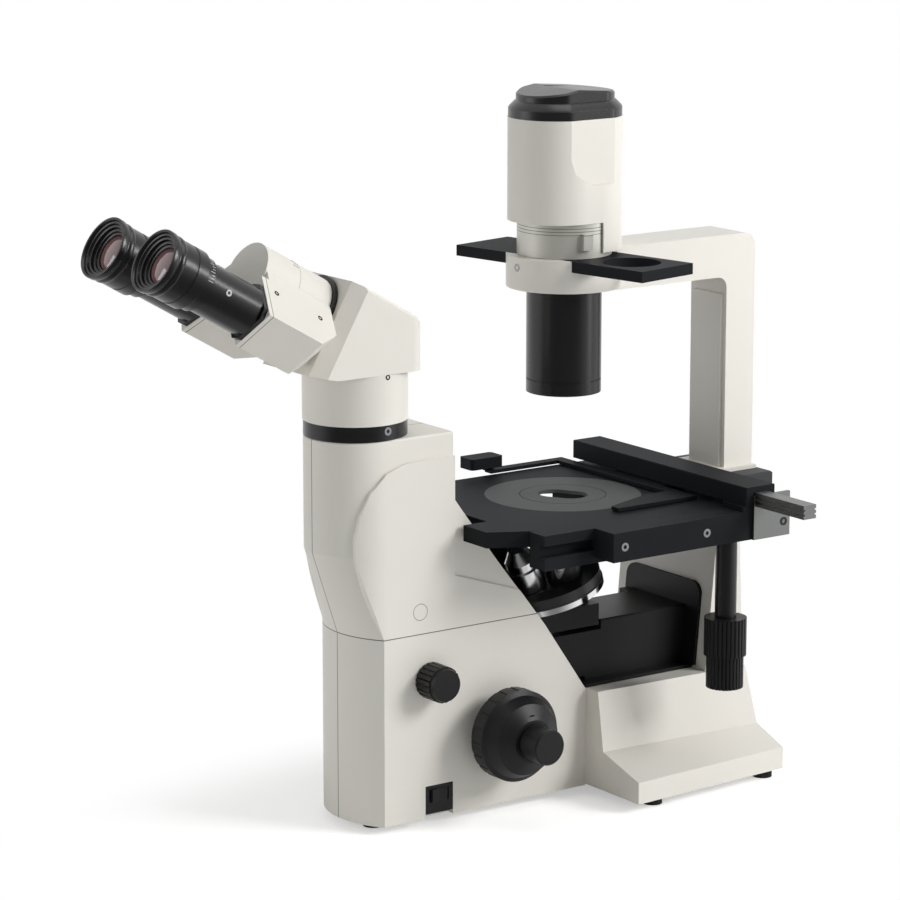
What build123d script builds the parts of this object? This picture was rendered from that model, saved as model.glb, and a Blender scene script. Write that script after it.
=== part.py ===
from build123d import *
import os
from math import atan2, cos, degrees, pi, radians, sin, tan

# Inverted microscope: a stand with the optics under the stage, a binocular head at the
# operator's end and a lamp house on a pillar at the rear.
# X is the operator's right, Y points away from the operator, Z is up.
# All places are measured from the optical axis of the stage.

# Shared sizes
overrun = 1.0
fit_gap = 0.05
seat_gap = 0.2
clearance = 0.5

# Body of the stand
body_bottom_z = 6.0
body_split_z = 137.0
body_top_z = 273.2
panel_base_z = 195.0
head_axis_y = -175.0
nose_radius = 35.2
panel_stand = 2.4
shell_wall = 3.0
cavity_half_width = 31.5
knee_z = 174.0
lower_corner_y = -177.6
lower_nose_y = -190.5
body_edge_radius = 1.5
panel_edge = 1.6
rear_top_y = -119.3
rear_drop_z = 228.0
rear_knee_y = -79.0
rear_waist_y = -43.0
rear_waist_z = 128.0
rear_low_y = -7.0
rear_low_z = 76.0
body_rear_y = rear_low_y
panel_half = nose_radius + panel_stand

# Side panel outline, as (y, z)
panel_outline = (
    (rear_top_y, 257.0),
    (-140.0, 257.0),
    (-160.0, 256.0),
    (-175.0, 251.0),
    (-186.8, 239.0),
    (-193.4, 223.0),
    (-196.3, 207.0),
    (-196.0, 192.0),
    (-189.0, 169.0),
    (lower_corner_y, body_split_z),
)

# Slanted rear edge of the shells, as (y, z)
rear_line = (
    (rear_top_y, rear_drop_z),
    (rear_knee_y, knee_z),
    (rear_waist_y, rear_waist_z),
    (rear_low_y, rear_low_z),
)

# Base casting and column
base_top_z = 77.0
base_low_z = 7.0
base_lip_z = 22.5
base_kink_z = 35.0
base_top_half = 51.5
base_kink_half = 58.0
base_half_width = 98.5
rear_base_top_y = 122.0
rear_base_top_half = 56.0
rear_kink_y = 128.0
rear_kink_z = 31.0
rear_kink_half = 63.0
rear_lip_y = 131.0
rear_lip_half = 89.0
column_half = 53.0
column_front_y = 88.0
column_top_front_y = 97.0
column_top_rear_y = 117.5
column_top_z = 176.0
column_edge = 5.0
base_wall = 4.0

# Stage
stage_top_z = 208.2
stage_thick = 11.0
stage_half = 80.0
stage_front_y = -113.0
stage_rear_y = 118.0
rack_end_x = 170.0
fine_far_x = 99.0
stage_under_z = stage_top_z - stage_thick

# Head
head_plane_z = 357.5
head_plane_y = -202.6
head_tilt = 30.0
half_ipd = 32.0
hinge_arm = 42.0
eye_end = 153.3
eye_lip_radius = 21.7

# Pillar
pillar_base_rear_y = 158.0
pillar_base_z = 188.0
pillar_base_top_z = 212.0

# Place of the optical axis in the part's frame, whose origin lies under the middle of the outline
wing_droop = degrees(atan2((hinge_arm**2 - half_ipd**2) ** 0.5, half_ipd))
wing_drop = (hinge_arm**2 - half_ipd**2) ** 0.5
eye_plane_drop = wing_drop + eye_lip_radius
head_front_y = head_plane_y - eye_end * cos(radians(head_tilt)) - eye_plane_drop * sin(radians(head_tilt))
optical_x = -(rack_end_x - fine_far_x) / 2
optical_y = -(pillar_base_rear_y + head_front_y) / 2

os.makedirs("parts", exist_ok=True)


def level(height, x=0, y=0):
    """Horizontal plane at a height, seen from above, over a place by the optical axis."""
    return Plane(origin=(optical_x + x, optical_y + y, height), x_dir=(1, 0, 0), z_dir=(0, 0, 1))


def side(x, y=0, z=0):
    """Upright plane across X, drawn as (y, z)."""
    return Plane(origin=(optical_x + x, optical_y + y, z), x_dir=(0, 1, 0), z_dir=(1, 0, 0))


def front(y, x=0, z=0):
    """Upright plane across Y, drawn as (x, z); it faces the operator."""
    return Plane(origin=(optical_x + x, optical_y + y, z), x_dir=(1, 0, 0), z_dir=(0, -1, 0))


def eyeline(along):
    """Plane square to the tilted sight line of the head, drawn as (x, up)."""
    lean = radians(head_tilt)
    place = (optical_x, optical_y + head_plane_y - along * cos(lean), head_plane_z + along * sin(lean))
    return Plane(origin=place, x_dir=(1, 0, 0), z_dir=(0, -cos(lean), sin(lean)))


def save(piece, name):
    """Name a finished piece and write it."""
    piece.part.label = name
    export_step(piece.part, f"parts/{name}.step")
    made[name] = piece.part


made = {}

# Focus drive, knobs and light path inside the stand
focus_axis_y = -84.0
focus_axis_z = 61.0
shaft_bore = 8.0
dimmer_y = -140.0
dimmer_z = 104.0
dimmer_bore = 4.0
plug_y = -148.0
plug_z = 152.5
plug_radius = 5.5
notch_front_y = -144.0
notch_rear_y = -121.0
notch_top_z = 29.0
relay_radius = 26.0
tongue_half = 31.0
tongue_top_z = 16.0


def stand_outline(half, corner_y, nose_y, rear_y):
    """Outline of the stand from above: flat sides, a round nose and a straight rear."""
    Line((half, rear_y), (half, corner_y))
    ThreePointArc((half, corner_y), (0, nose_y), (-half, corner_y))
    Line((-half, corner_y), (-half, rear_y))
    Line((-half, rear_y), (half, rear_y))


def make_stand_shells():
    """Two upper and two lower half shells, hollow and open at the rear."""
    wide = panel_half + overrun
    above = body_top_z + overrun
    with BuildPart() as panel:
        with BuildSketch(side(0)):
            with BuildLine():
                Polyline(*panel_outline, (rear_low_y, body_split_z), (rear_top_y, knee_z), close=True)
            make_face()
        extrude(amount=wide, both=True)
        with BuildSketch(level(body_split_z)):
            with BuildLine():
                stand_outline(panel_half, head_axis_y, head_axis_y - panel_half, 0)
            make_face()
        extrude(amount=body_top_z - body_split_z, mode=Mode.INTERSECT)
    with BuildPart() as upper:
        with BuildSketch(level(panel_base_z)) as waist:
            with BuildLine():
                stand_outline(nose_radius, head_axis_y, head_axis_y - nose_radius, 0)
            make_face()
        with BuildSketch(level(body_split_z)):
            with BuildLine():
                stand_outline(panel_half, lower_corner_y, lower_nose_y, 0)
            make_face()
        loft()
        extrude(waist.sketch, amount=body_top_z - panel_base_z)
        fillet(upper.edges().group_by(Axis.Z)[-1], body_edge_radius)
        add(panel.part)
        room = nose_radius - shell_wall
        with BuildSketch(level(panel_base_z)) as hollow:
            with BuildLine():
                stand_outline(room, head_axis_y, head_axis_y - room, overrun)
            make_face()
        with BuildSketch(level(body_split_z)):
            with BuildLine():
                stand_outline(room, head_axis_y, lower_nose_y + shell_wall, overrun)
            make_face()
        loft(mode=Mode.SUBTRACT)
        extrude(hollow.sketch, amount=body_top_z - shell_wall - panel_base_z, mode=Mode.SUBTRACT)
        with BuildSketch(level(body_top_z, y=head_axis_y)):
            Circle(relay_radius + clearance)
        extrude(amount=-shell_wall * 2, mode=Mode.SUBTRACT)
        with BuildSketch(side(0)):
            with BuildLine():
                Polyline(*rear_line, (wide, rear_low_z), (wide, above), (rear_top_y, above), close=True)
            make_face()
        extrude(amount=wide, both=True, mode=Mode.SUBTRACT)
        with BuildSketch(side(panel_half)):
            with Locations((plug_y, plug_z)):
                Circle(plug_radius)
        extrude(amount=-panel_stand, mode=Mode.SUBTRACT)
    with BuildPart() as lower:
        with BuildSketch(level(body_bottom_z)):
            with BuildLine():
                stand_outline(panel_half, lower_corner_y, lower_nose_y, body_rear_y)
            make_face()
        extrude(amount=body_split_z - body_bottom_z)
        with BuildSketch(level(body_bottom_z + shell_wall)):
            with BuildLine():
                stand_outline(panel_half - shell_wall, lower_corner_y, lower_nose_y + shell_wall, overrun)
            make_face()
        extrude(amount=body_split_z, mode=Mode.SUBTRACT)
        with BuildSketch(side(0)):
            with BuildLine():
                Polyline(*rear_line, (wide, rear_low_z), (wide, above), (rear_top_y, above), close=True)
            make_face()
        extrude(amount=wide, both=True, mode=Mode.SUBTRACT)
        with BuildSketch(side(0)):
            with Locations((focus_axis_y, focus_axis_z)):
                Circle(shaft_bore)
        extrude(amount=wide, both=True, mode=Mode.SUBTRACT)
        with BuildSketch(side(0)):
            with Locations((dimmer_y, dimmer_z)):
                Circle(dimmer_bore)
        extrude(amount=wide, mode=Mode.SUBTRACT)
        with BuildSketch(side(cavity_half_width)):
            with BuildLine():
                Polyline(
                    (notch_front_y, body_bottom_z - overrun),
                    (notch_front_y, notch_top_z),
                    (notch_rear_y, notch_top_z),
                    (notch_rear_y, body_bottom_z - overrun),
                    close=True,
                )
            make_face()
        extrude(amount=wide, mode=Mode.SUBTRACT)
    for whole, name in ((upper, "upper_shell"), (lower, "lower_shell")):
        for hand, keep in (("right", Keep.TOP), ("left", Keep.BOTTOM)):
            with BuildPart() as half:
                add(whole.part)
                split(bisect_by=side(0), keep=keep)
            save(half, f"{name}_{hand}")


make_stand_shells()

# Base casting, column and what stands on them
tongue_front_y = -150.0
floor_half = 38.0
floor_thick = 2.5
plate_half = 42.0
plate_top_z = 139.0
plate_thick = 2.5
plate_corner = 9.0
column_front_top_y = 97.0
column_rear_foot_y = 122.0
light_half = 27.0
light_top_z = 121.0
mirror_low_z = 82.0
mirror_top_z = 114.0
mirror_front_y = -60.0
mirror_rear_y = 14.0
block_width = 10.0
block_height = 15.0
block_depth = 8.0
block_low_z = 106.0
support_half = 60.0
support_front_y = 36.0
support_rear_y = 118.0
support_low_z = column_top_z
base_block_half = 40.0
base_block_front_y = 100.0
foot_radius = 7.0
foot_places = ((82.0, 18.0), (77.0, 122.0))
front_foot = (12.0, -170.0)


def make_base():
    """Base casting with its flared foot, hollow from below, and a tongue under the shells."""
    levels = (
        (base_top_z, base_top_half, rear_base_top_half, rear_base_top_y),
        (base_kink_z, base_kink_half, rear_kink_half, rear_kink_y),
        (base_lip_z, base_half_width, rear_lip_half, rear_lip_y),
    )
    with BuildPart() as base:
        for upper, lower in zip(levels, levels[1:]):
            for height, front_half, rear_half, rear_y in (upper, lower):
                with BuildSketch(level(height)):
                    with BuildLine():
                        Polyline(
                            (-front_half, body_rear_y),
                            (front_half, body_rear_y),
                            (rear_half, rear_y),
                            (-rear_half, rear_y),
                            close=True,
                        )
                    make_face()
            loft()
        with BuildSketch(level(base_lip_z)):
            with BuildLine():
                Polyline(
                    (-base_half_width, body_rear_y),
                    (base_half_width, body_rear_y),
                    (rear_lip_half, rear_lip_y),
                    (-rear_lip_half, rear_lip_y),
                    close=True,
                )
            make_face()
        extrude(amount=base_low_z - base_lip_z)
        with BuildSketch(level(base_low_z)):
            with BuildLine():
                Polyline(
                    (-base_top_half + base_wall, body_rear_y + base_wall),
                    (base_top_half - base_wall, body_rear_y + base_wall),
                    (rear_base_top_half - base_wall, rear_base_top_y - base_wall),
                    (-rear_base_top_half + base_wall, rear_base_top_y - base_wall),
                    close=True,
                )
            make_face()
        extrude(amount=base_top_z - base_wall - base_low_z, mode=Mode.SUBTRACT)
        with BuildSketch(level(body_bottom_z + shell_wall)):
            with BuildLine():
                Polyline(
                    (-tongue_half, tongue_front_y),
                    (tongue_half, tongue_front_y),
                    (tongue_half, body_rear_y + base_wall),
                    (-tongue_half, body_rear_y + base_wall),
                    close=True,
                )
            make_face()
        extrude(amount=tongue_top_z - body_bottom_z - shell_wall)
    save(base, "base_casting")
    with BuildPart() as column:
        with BuildSketch(level(base_top_z)):
            with BuildLine():
                Polyline(
                    (-column_half, column_front_y),
                    (column_half, column_front_y),
                    (column_half, column_rear_foot_y),
                    (-column_half, column_rear_foot_y),
                    close=True,
                )
            make_face()
        with BuildSketch(level(column_top_z)):
            with BuildLine():
                Polyline(
                    (-column_half, column_front_top_y),
                    (column_half, column_front_top_y),
                    (column_half, column_top_rear_y),
                    (-column_half, column_top_rear_y),
                    close=True,
                )
            make_face()
        loft()
        fillet(column.edges().filter_by(Axis.Y).group_by(Axis.Z)[-1], column_edge)
    save(column, "rear_column")


def lean(height):
    """How far back the front of the column stands at a height."""
    share = (height - base_top_z) / (column_top_z - base_top_z)
    return column_front_y + share * (column_front_top_y - column_front_y)


def make_column_parts():
    """Black plates and boxes in front of the column."""
    with BuildPart() as plate:
        low_z = base_top_z + floor_thick
        with BuildSketch(side(-plate_half)):
            with BuildLine():
                Polyline(
                    (lean(low_z), low_z),
                    (lean(plate_top_z), plate_top_z),
                    (lean(plate_top_z) - plate_thick, plate_top_z),
                    (lean(low_z) - plate_thick, low_z),
                    close=True,
                )
            make_face()
        extrude(amount=plate_half * 2)
        fillet(plate.edges().filter_by(lambda e: e.length < plate_thick * 2).group_by(Axis.Z)[-1], plate_corner)
    with BuildPart() as light_box:
        low_z = base_top_z + floor_thick
        with BuildSketch(side(-light_half)):
            with BuildLine():
                Polyline(
                    (mirror_rear_y, low_z),
                    (lean(low_z) - plate_thick, low_z),
                    (lean(light_top_z) - plate_thick, light_top_z),
                    (mirror_rear_y, light_top_z),
                    close=True,
                )
            make_face()
        extrude(amount=light_half * 2)
        chamfer(light_box.edges().filter_by(Axis.Y).group_by(Axis.Z)[-1], clearance * 2)
    save(light_box, "light_path_box")
    with BuildPart() as small_block:
        with BuildSketch(front(lean(block_low_z) - plate_thick, x=-plate_half + block_width)):
            with Locations((0, block_low_z + block_height / 2)):
                Rectangle(block_width, block_height)
        extrude(amount=block_depth)
    with BuildPart() as cover:
        add(plate.part)
        add(small_block.part)
    save(cover, "window_cover")
    with BuildPart() as floor_plate:
        with BuildSketch(level(base_top_z)):
            with BuildLine():
                Polyline(
                    (-floor_half, body_rear_y),
                    (floor_half, body_rear_y),
                    (floor_half, column_front_y),
                    (-floor_half, column_front_y),
                    close=True,
                )
            make_face()
        extrude(amount=floor_thick)
    save(floor_plate, "floor_plate")
    with BuildPart() as support:
        with BuildSketch(level(support_low_z)):
            with BuildLine():
                Polyline(
                    (-support_half, support_front_y),
                    (support_half, support_front_y),
                    (support_half, base_block_front_y),
                    (-support_half, base_block_front_y),
                    close=True,
                )
            make_face()
        extrude(amount=stage_under_z - support_low_z)
        with BuildSketch(level(support_low_z)):
            with BuildLine():
                Polyline(
                    (-support_half, base_block_front_y),
                    (support_half, base_block_front_y),
                    (support_half, support_rear_y),
                    (-support_half, support_rear_y),
                    close=True,
                )
            make_face()
        extrude(amount=pillar_base_z - support_low_z)
    save(support, "support_plate")
    with BuildPart() as rear_block:
        with BuildSketch(level(pillar_base_z)):
            with BuildLine():
                Polyline(
                    (-base_block_half, stage_rear_y),
                    (base_block_half, stage_rear_y),
                    (base_block_half, pillar_base_rear_y),
                    (-base_block_half, pillar_base_rear_y),
                    close=True,
                )
            make_face()
        extrude(amount=pillar_base_top_z - pillar_base_z)
        with BuildSketch(level(pillar_base_z)):
            with BuildLine():
                Polyline(
                    (-base_block_half, base_block_front_y),
                    (base_block_half, base_block_front_y),
                    (base_block_half, stage_rear_y),
                    (-base_block_half, stage_rear_y),
                    close=True,
                )
            make_face()
        extrude(amount=stage_under_z - pillar_base_z)
        chamfer(rear_block.edges().group_by(Axis.Z)[-1], clearance * 2)
    save(rear_block, "pillar_base_block")
    with BuildPart() as feet:
        for x, y in foot_places:
            with BuildSketch(level(0)):
                with Locations((x, y), (-x, y)):
                    Circle(foot_radius)
            extrude(amount=base_low_z)
        with BuildSketch(level(0)):
            with Locations(front_foot, (-front_foot[0], front_foot[1])):
                Circle(foot_radius)
        extrude(amount=body_bottom_z)
    save(feet, "feet")


make_base()
make_column_parts()

# Light path under the stage
light_hole = 11.0
tube_radius = 14.0
tube_front_y = -150.0
tube_z = 97.0
tube_wall = 3.0
block_half = 20.0
block_front_y = -182.0
relay_low_z = 185.0
relay_bore = 17.0
lens_thick = 6.0
head_roof_z = body_top_z

# Focus drive
guide_half = 24.0
guide_front_y = -95.0
guide_rear_y = -61.0
guide_top_z = 70.0
spine_half = 10.0
spine_rear_y = -66.0
spine_front_y = -76.6
spine_low_z = 25.0
yoke_half = 29.0
yoke_low_z = 73.0
yoke_bar = 4.5
yoke_window_half = 16.0
yoke_window_top_z = 115.5
rack_pitch_y = -78.0
rack_module = 0.8
pinion_teeth = 15
rack_teeth = 14
carriage_low_z = 117.5
carriage_thick = 15.5
carriage_half = 27.0
carriage_front_y = -40.0
carriage_rear_y = 12.0
arm_thick = 8.0
shaft_radius = 5.0
fine_shaft_radius = 2.5
coarse_radius = 32.0
coarse_near_x = 51.0
coarse_far_x = 66.0
coarse_dome_x = 80.0
dimple_radius = 3.5
coarse_scallops = 20
scallop_radius = 2.2
fine_radius = 12.4
fine_near_x = 81.0
collar_far_x = 41.5
collar_radius = 15.0
dimmer_radius = 12.6
dimmer_face = 10.6
dimmer_near_x = 38.2
dimmer_far_x = 57.5
dimmer_ribs = 20
dimmer_rib = 0.8
dimmer_body_x = 20.0


def box_outline(near, far):
    """Closed rectangle between two corners, drawn on the plane's own axes."""
    Polyline(near, (far[0], near[1]), far, (near[0], far[1]), close=True)


def make_light_path():
    """Mirror box under the objective, imaging tube, front mirror block and relay tube."""
    with BuildPart() as box:
        with BuildSketch(side(-light_half)):
            with BuildLine():
                Polyline(
                    (mirror_front_y, mirror_low_z),
                    (mirror_rear_y, mirror_low_z),
                    (mirror_rear_y, mirror_top_z),
                    (mirror_front_y, mirror_top_z),
                    close=True,
                )
            make_face()
        extrude(amount=light_half * 2)
        with BuildSketch(level(mirror_top_z)):
            Circle(light_hole)
        extrude(amount=tube_z - mirror_top_z, mode=Mode.SUBTRACT)
        with BuildSketch(front(mirror_front_y)):
            with Locations((0, tube_z)):
                Circle(light_hole)
        extrude(amount=mirror_front_y, mode=Mode.SUBTRACT)
        with BuildSketch(level(base_top_z + floor_thick)):
            with Locations((0, mirror_rear_y / 2)):
                Rectangle(light_half * 2, mirror_rear_y)
        extrude(amount=mirror_low_z - base_top_z - floor_thick)
    save(box, "mirror_box")
    with BuildPart() as tube:
        with BuildSketch(front(mirror_front_y)) as ring:
            with Locations((0, tube_z)):
                Circle(tube_radius)
                Circle(tube_radius - tube_wall, mode=Mode.SUBTRACT)
        extrude(amount=mirror_front_y - tube_front_y)
    with BuildPart() as lens:
        with BuildSketch(front((mirror_front_y + tube_front_y) / 2)):
            with Locations((0, tube_z)):
                Circle(tube_radius - tube_wall)
        extrude(amount=lens_thick)
    with BuildPart() as optics:
        add(tube.part)
        add(lens.part)
    save(optics, "imaging_tube")
    with BuildPart() as mirror_block:
        with BuildSketch(side(-block_half)):
            with BuildLine():
                box_outline((tube_front_y, tongue_top_z), (block_front_y, relay_low_z))
            make_face()
        extrude(amount=block_half * 2)
    save(mirror_block, "mirror_block")
    with BuildPart() as relay:
        with BuildSketch(level(relay_low_z, y=head_axis_y)):
            Circle(relay_radius)
            Circle(relay_bore, mode=Mode.SUBTRACT)
        extrude(amount=head_roof_z - relay_low_z)
    save(relay, "relay_tube")


def gear_outline(teeth, module):
    """Outline of a spur gear with straight flanks, drawn on the plane's own axes."""
    root_share = 1.25
    points = []
    for tooth in range(teeth):
        for turn_share, grow in ((-0.29, -root_share), (-0.14, 1), (0.14, 1), (0.29, -root_share)):
            turn = 2 * pi * (tooth + turn_share) / teeth
            reach = module * teeth / 2 + grow * module
            points.append((reach * cos(turn), reach * sin(turn)))
    Polyline(*points, close=True)


def make_focus_drive():
    """Guide block, carriage with its rack, shafts and the knobs on both sides."""
    with BuildPart() as guide:
        with BuildSketch(level(tongue_top_z)):
            with BuildLine():
                box_outline((-guide_half, guide_front_y), (guide_half, guide_rear_y))
            make_face()
        extrude(amount=guide_top_z - tongue_top_z)
        with BuildSketch(level(tongue_top_z + base_wall)):
            with BuildLine():
                box_outline(
                    (-spine_half - fit_gap, spine_rear_y + fit_gap),
                    (spine_half + fit_gap, rack_pitch_y - rack_module * 2),
                )
            make_face()
        extrude(amount=guide_top_z, mode=Mode.SUBTRACT)
        with BuildSketch(side(0, y=focus_axis_y, z=focus_axis_z)):
            Circle(shaft_radius + fit_gap)
        extrude(amount=guide_half + overrun, both=True, mode=Mode.SUBTRACT)
        with BuildSketch(side(0, y=focus_axis_y, z=focus_axis_z)):
            Circle(rack_module * (pinion_teeth / 2 + 1) + clearance)
        extrude(amount=spine_half + fit_gap, both=True, mode=Mode.SUBTRACT)
    save(guide, "focus_guide")
    with BuildPart() as carriage:
        with BuildSketch(side(-spine_half)):
            with BuildLine():
                box_outline((spine_front_y, spine_low_z), (spine_rear_y, yoke_low_z))
            make_face()
        extrude(amount=spine_half * 2)
        with BuildSketch(front(spine_rear_y)):
            with BuildLine():
                box_outline((-yoke_half, yoke_low_z), (yoke_half, carriage_low_z + carriage_thick))
            make_face()
            with BuildLine():
                box_outline((-yoke_window_half, yoke_low_z + yoke_bar), (yoke_window_half, yoke_window_top_z))
            make_face(mode=Mode.SUBTRACT)
        extrude(amount=spine_rear_y - spine_front_y)
        with BuildSketch(level(carriage_low_z)):
            with BuildLine():
                box_outline((-carriage_half, spine_rear_y), (carriage_half, carriage_front_y))
            make_face()
        extrude(amount=arm_thick)
        with BuildSketch(level(carriage_low_z)):
            with BuildLine():
                box_outline((-carriage_half, carriage_front_y), (carriage_half, carriage_rear_y))
            make_face()
            Circle(light_hole, mode=Mode.SUBTRACT)
        extrude(amount=carriage_thick)
        pitch = pi * rack_module
        first_z = focus_axis_z - pitch * (rack_teeth - 1) / 2
        with BuildSketch(side(-spine_half / 2)):
            for tooth in range(rack_teeth):
                middle = first_z + tooth * pitch
                with BuildLine():
                    Polyline(
                        (spine_front_y, middle - pitch * 0.36),
                        (rack_pitch_y - rack_module, middle - pitch * 0.14),
                        (rack_pitch_y - rack_module, middle + pitch * 0.14),
                        (spine_front_y, middle + pitch * 0.36),
                        close=True,
                    )
                make_face()
        extrude(amount=spine_half)
    save(carriage, "focus_carriage")
    with BuildPart() as shaft:
        with BuildSketch(side(0, y=focus_axis_y, z=focus_axis_z)):
            Circle(shaft_radius)
        extrude(amount=coarse_far_x, both=True)
        with BuildSketch(side(0, y=focus_axis_y, z=focus_axis_z)):
            with BuildLine():
                gear_outline(pinion_teeth, rack_module)
            make_face()
        extrude(amount=spine_half / 2, both=True)
        with BuildSketch(side(0, y=focus_axis_y, z=focus_axis_z)):
            Circle(fine_shaft_radius + fit_gap)
        extrude(amount=coarse_far_x + overrun, both=True, mode=Mode.SUBTRACT)
    save(shaft, "coarse_shaft")
    axle = Axis((optical_x, optical_y + focus_axis_y, focus_axis_z), (1, 0, 0))
    with BuildPart() as coarse:
        with BuildSketch(front(focus_axis_y, z=focus_axis_z)):
            with BuildLine():
                Polyline(
                    (coarse_near_x, 0),
                    (coarse_near_x, coarse_radius - clearance * 2),
                    (coarse_near_x + clearance * 2, coarse_radius),
                    (coarse_far_x - clearance * 4, coarse_radius),
                    (coarse_far_x, coarse_radius - clearance * 6),
                )
                Polyline(
                    (coarse_far_x, coarse_radius - clearance * 6),
                    (coarse_dome_x - clearance * 12, (coarse_radius + collar_radius) / 2 + clearance * 3),
                    (coarse_dome_x, collar_radius),
                    (coarse_dome_x, 0),
                    (coarse_near_x, 0),
                )
            make_face()
        revolve(axis=axle)
        with BuildSketch(side(coarse_near_x, y=focus_axis_y, z=focus_axis_z)):
            with PolarLocations(coarse_radius + scallop_radius * 0.6, coarse_scallops):
                RegularPolygon(scallop_radius, 6, rotation=30)
        extrude(amount=coarse_far_x - coarse_near_x - clearance * 8, mode=Mode.SUBTRACT)
        with BuildSketch(side(coarse_near_x, y=focus_axis_y, z=focus_axis_z)):
            Circle(shaft_radius)
        extrude(amount=coarse_far_x - coarse_near_x, mode=Mode.SUBTRACT)
        with BuildSketch(side(coarse_near_x, y=focus_axis_y, z=focus_axis_z)):
            Circle(fine_shaft_radius + fit_gap)
        extrude(amount=coarse_dome_x, mode=Mode.SUBTRACT)
        with BuildSketch(side(coarse_dome_x - clearance * 4, y=focus_axis_y, z=focus_axis_z)):
            with Locations((0, collar_radius + dimple_radius * 1.6)):
                Circle(dimple_radius)
        extrude(amount=coarse_dome_x, mode=Mode.SUBTRACT)
    with BuildPart() as fine:
        with BuildSketch(front(focus_axis_y, z=focus_axis_z)):
            with BuildLine():
                Polyline(
                    (fine_near_x, 0),
                    (fine_near_x, fine_radius - clearance),
                    (fine_near_x + clearance, fine_radius),
                    (fine_far_x - clearance * 2, fine_radius),
                    (fine_far_x, fine_radius - clearance * 2),
                    (fine_far_x, 0),
                    close=True,
                )
            make_face()
        revolve(axis=axle)
        mirror(about=side(0))
        with BuildSketch(side(0, y=focus_axis_y, z=focus_axis_z)):
            Circle(fine_shaft_radius)
        extrude(amount=fine_near_x, both=True)
    with BuildPart() as knobs:
        add(coarse.part)
        mirror(about=side(0))
    save(knobs, "coarse_knobs")
    save(fine, "fine_knobs")
    with BuildPart() as dimmer:
        with BuildSketch(side(dimmer_near_x, y=dimmer_y, z=dimmer_z)):
            Circle(dimmer_radius)
            with PolarLocations(dimmer_radius, dimmer_ribs):
                RegularPolygon(dimmer_rib, 4, mode=Mode.SUBTRACT)
        extrude(amount=dimmer_far_x - dimmer_near_x - dimmer_rib * 4)
        with BuildSketch(side(dimmer_far_x - dimmer_rib * 4, y=dimmer_y, z=dimmer_z)):
            Circle(dimmer_radius - dimmer_rib)
        extrude(amount=dimmer_rib * 4, taper=degrees(atan2(dimmer_radius - dimmer_face, dimmer_rib * 4)) / 2)
        with BuildSketch(side(dimmer_near_x, y=dimmer_y, z=dimmer_z)):
            Circle(dimmer_bore - fit_gap)
        extrude(amount=dimmer_body_x - dimmer_near_x)
    save(dimmer, "brightness_knob")
    with BuildPart() as plug:
        with BuildSketch(side(panel_half - panel_stand, y=plug_y, z=plug_z)):
            Circle(plug_radius)
        extrude(amount=panel_stand)
    save(plug, "hole_plug")


make_light_path()
make_focus_drive()

# Nosepiece
nose_apex_z = 75.0
nose_tilt = 15.0
mount_radius = 28.0
mount_centre_y = -12.0
mount_top = 66.8
mount_collar_radius = 31.0
mount_collar_z = 136.0
turret_radius = 44.0
turret_low = 67.0
turret_ring = 71.0
turret_band = 78.5
turret_top_radius = 33.0
turret_top = 81.0
pivot_radius = 3.5
pivot_low = 61.5
seat_distance = 85.0
seat_radius = 12.0
seat_bore = 8.0
objective_turns = (0.0, 72.0, 144.0, 216.0)
objective_lengths = (39.5, 30.0, 34.0, 37.0)
objective_radius = 12.5
objective_nose = 6.0
plug_turn = 288.0
nose_plug_thick = 3.0


def nose(along):
    """Plane square to the axis of the turret."""
    lean_angle = radians(nose_tilt)
    place = (optical_x, optical_y - along * sin(lean_angle), nose_apex_z + along * cos(lean_angle))
    return Plane(origin=place, x_dir=(1, 0, 0), z_dir=(0, -sin(lean_angle), cos(lean_angle)))


def seat(turn, along):
    """Plane square to the objective that stands at a turn of the turret."""
    turret_plane = nose(0)
    swing = radians(turn)
    out = turret_plane.y_dir * cos(swing) + turret_plane.x_dir * sin(swing)
    aim = turret_plane.z_dir * cos(radians(nose_tilt)) + out * sin(radians(nose_tilt))
    return Plane(origin=turret_plane.origin + aim * along, x_dir=turret_plane.z_dir.cross(aim), z_dir=aim)


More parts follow.
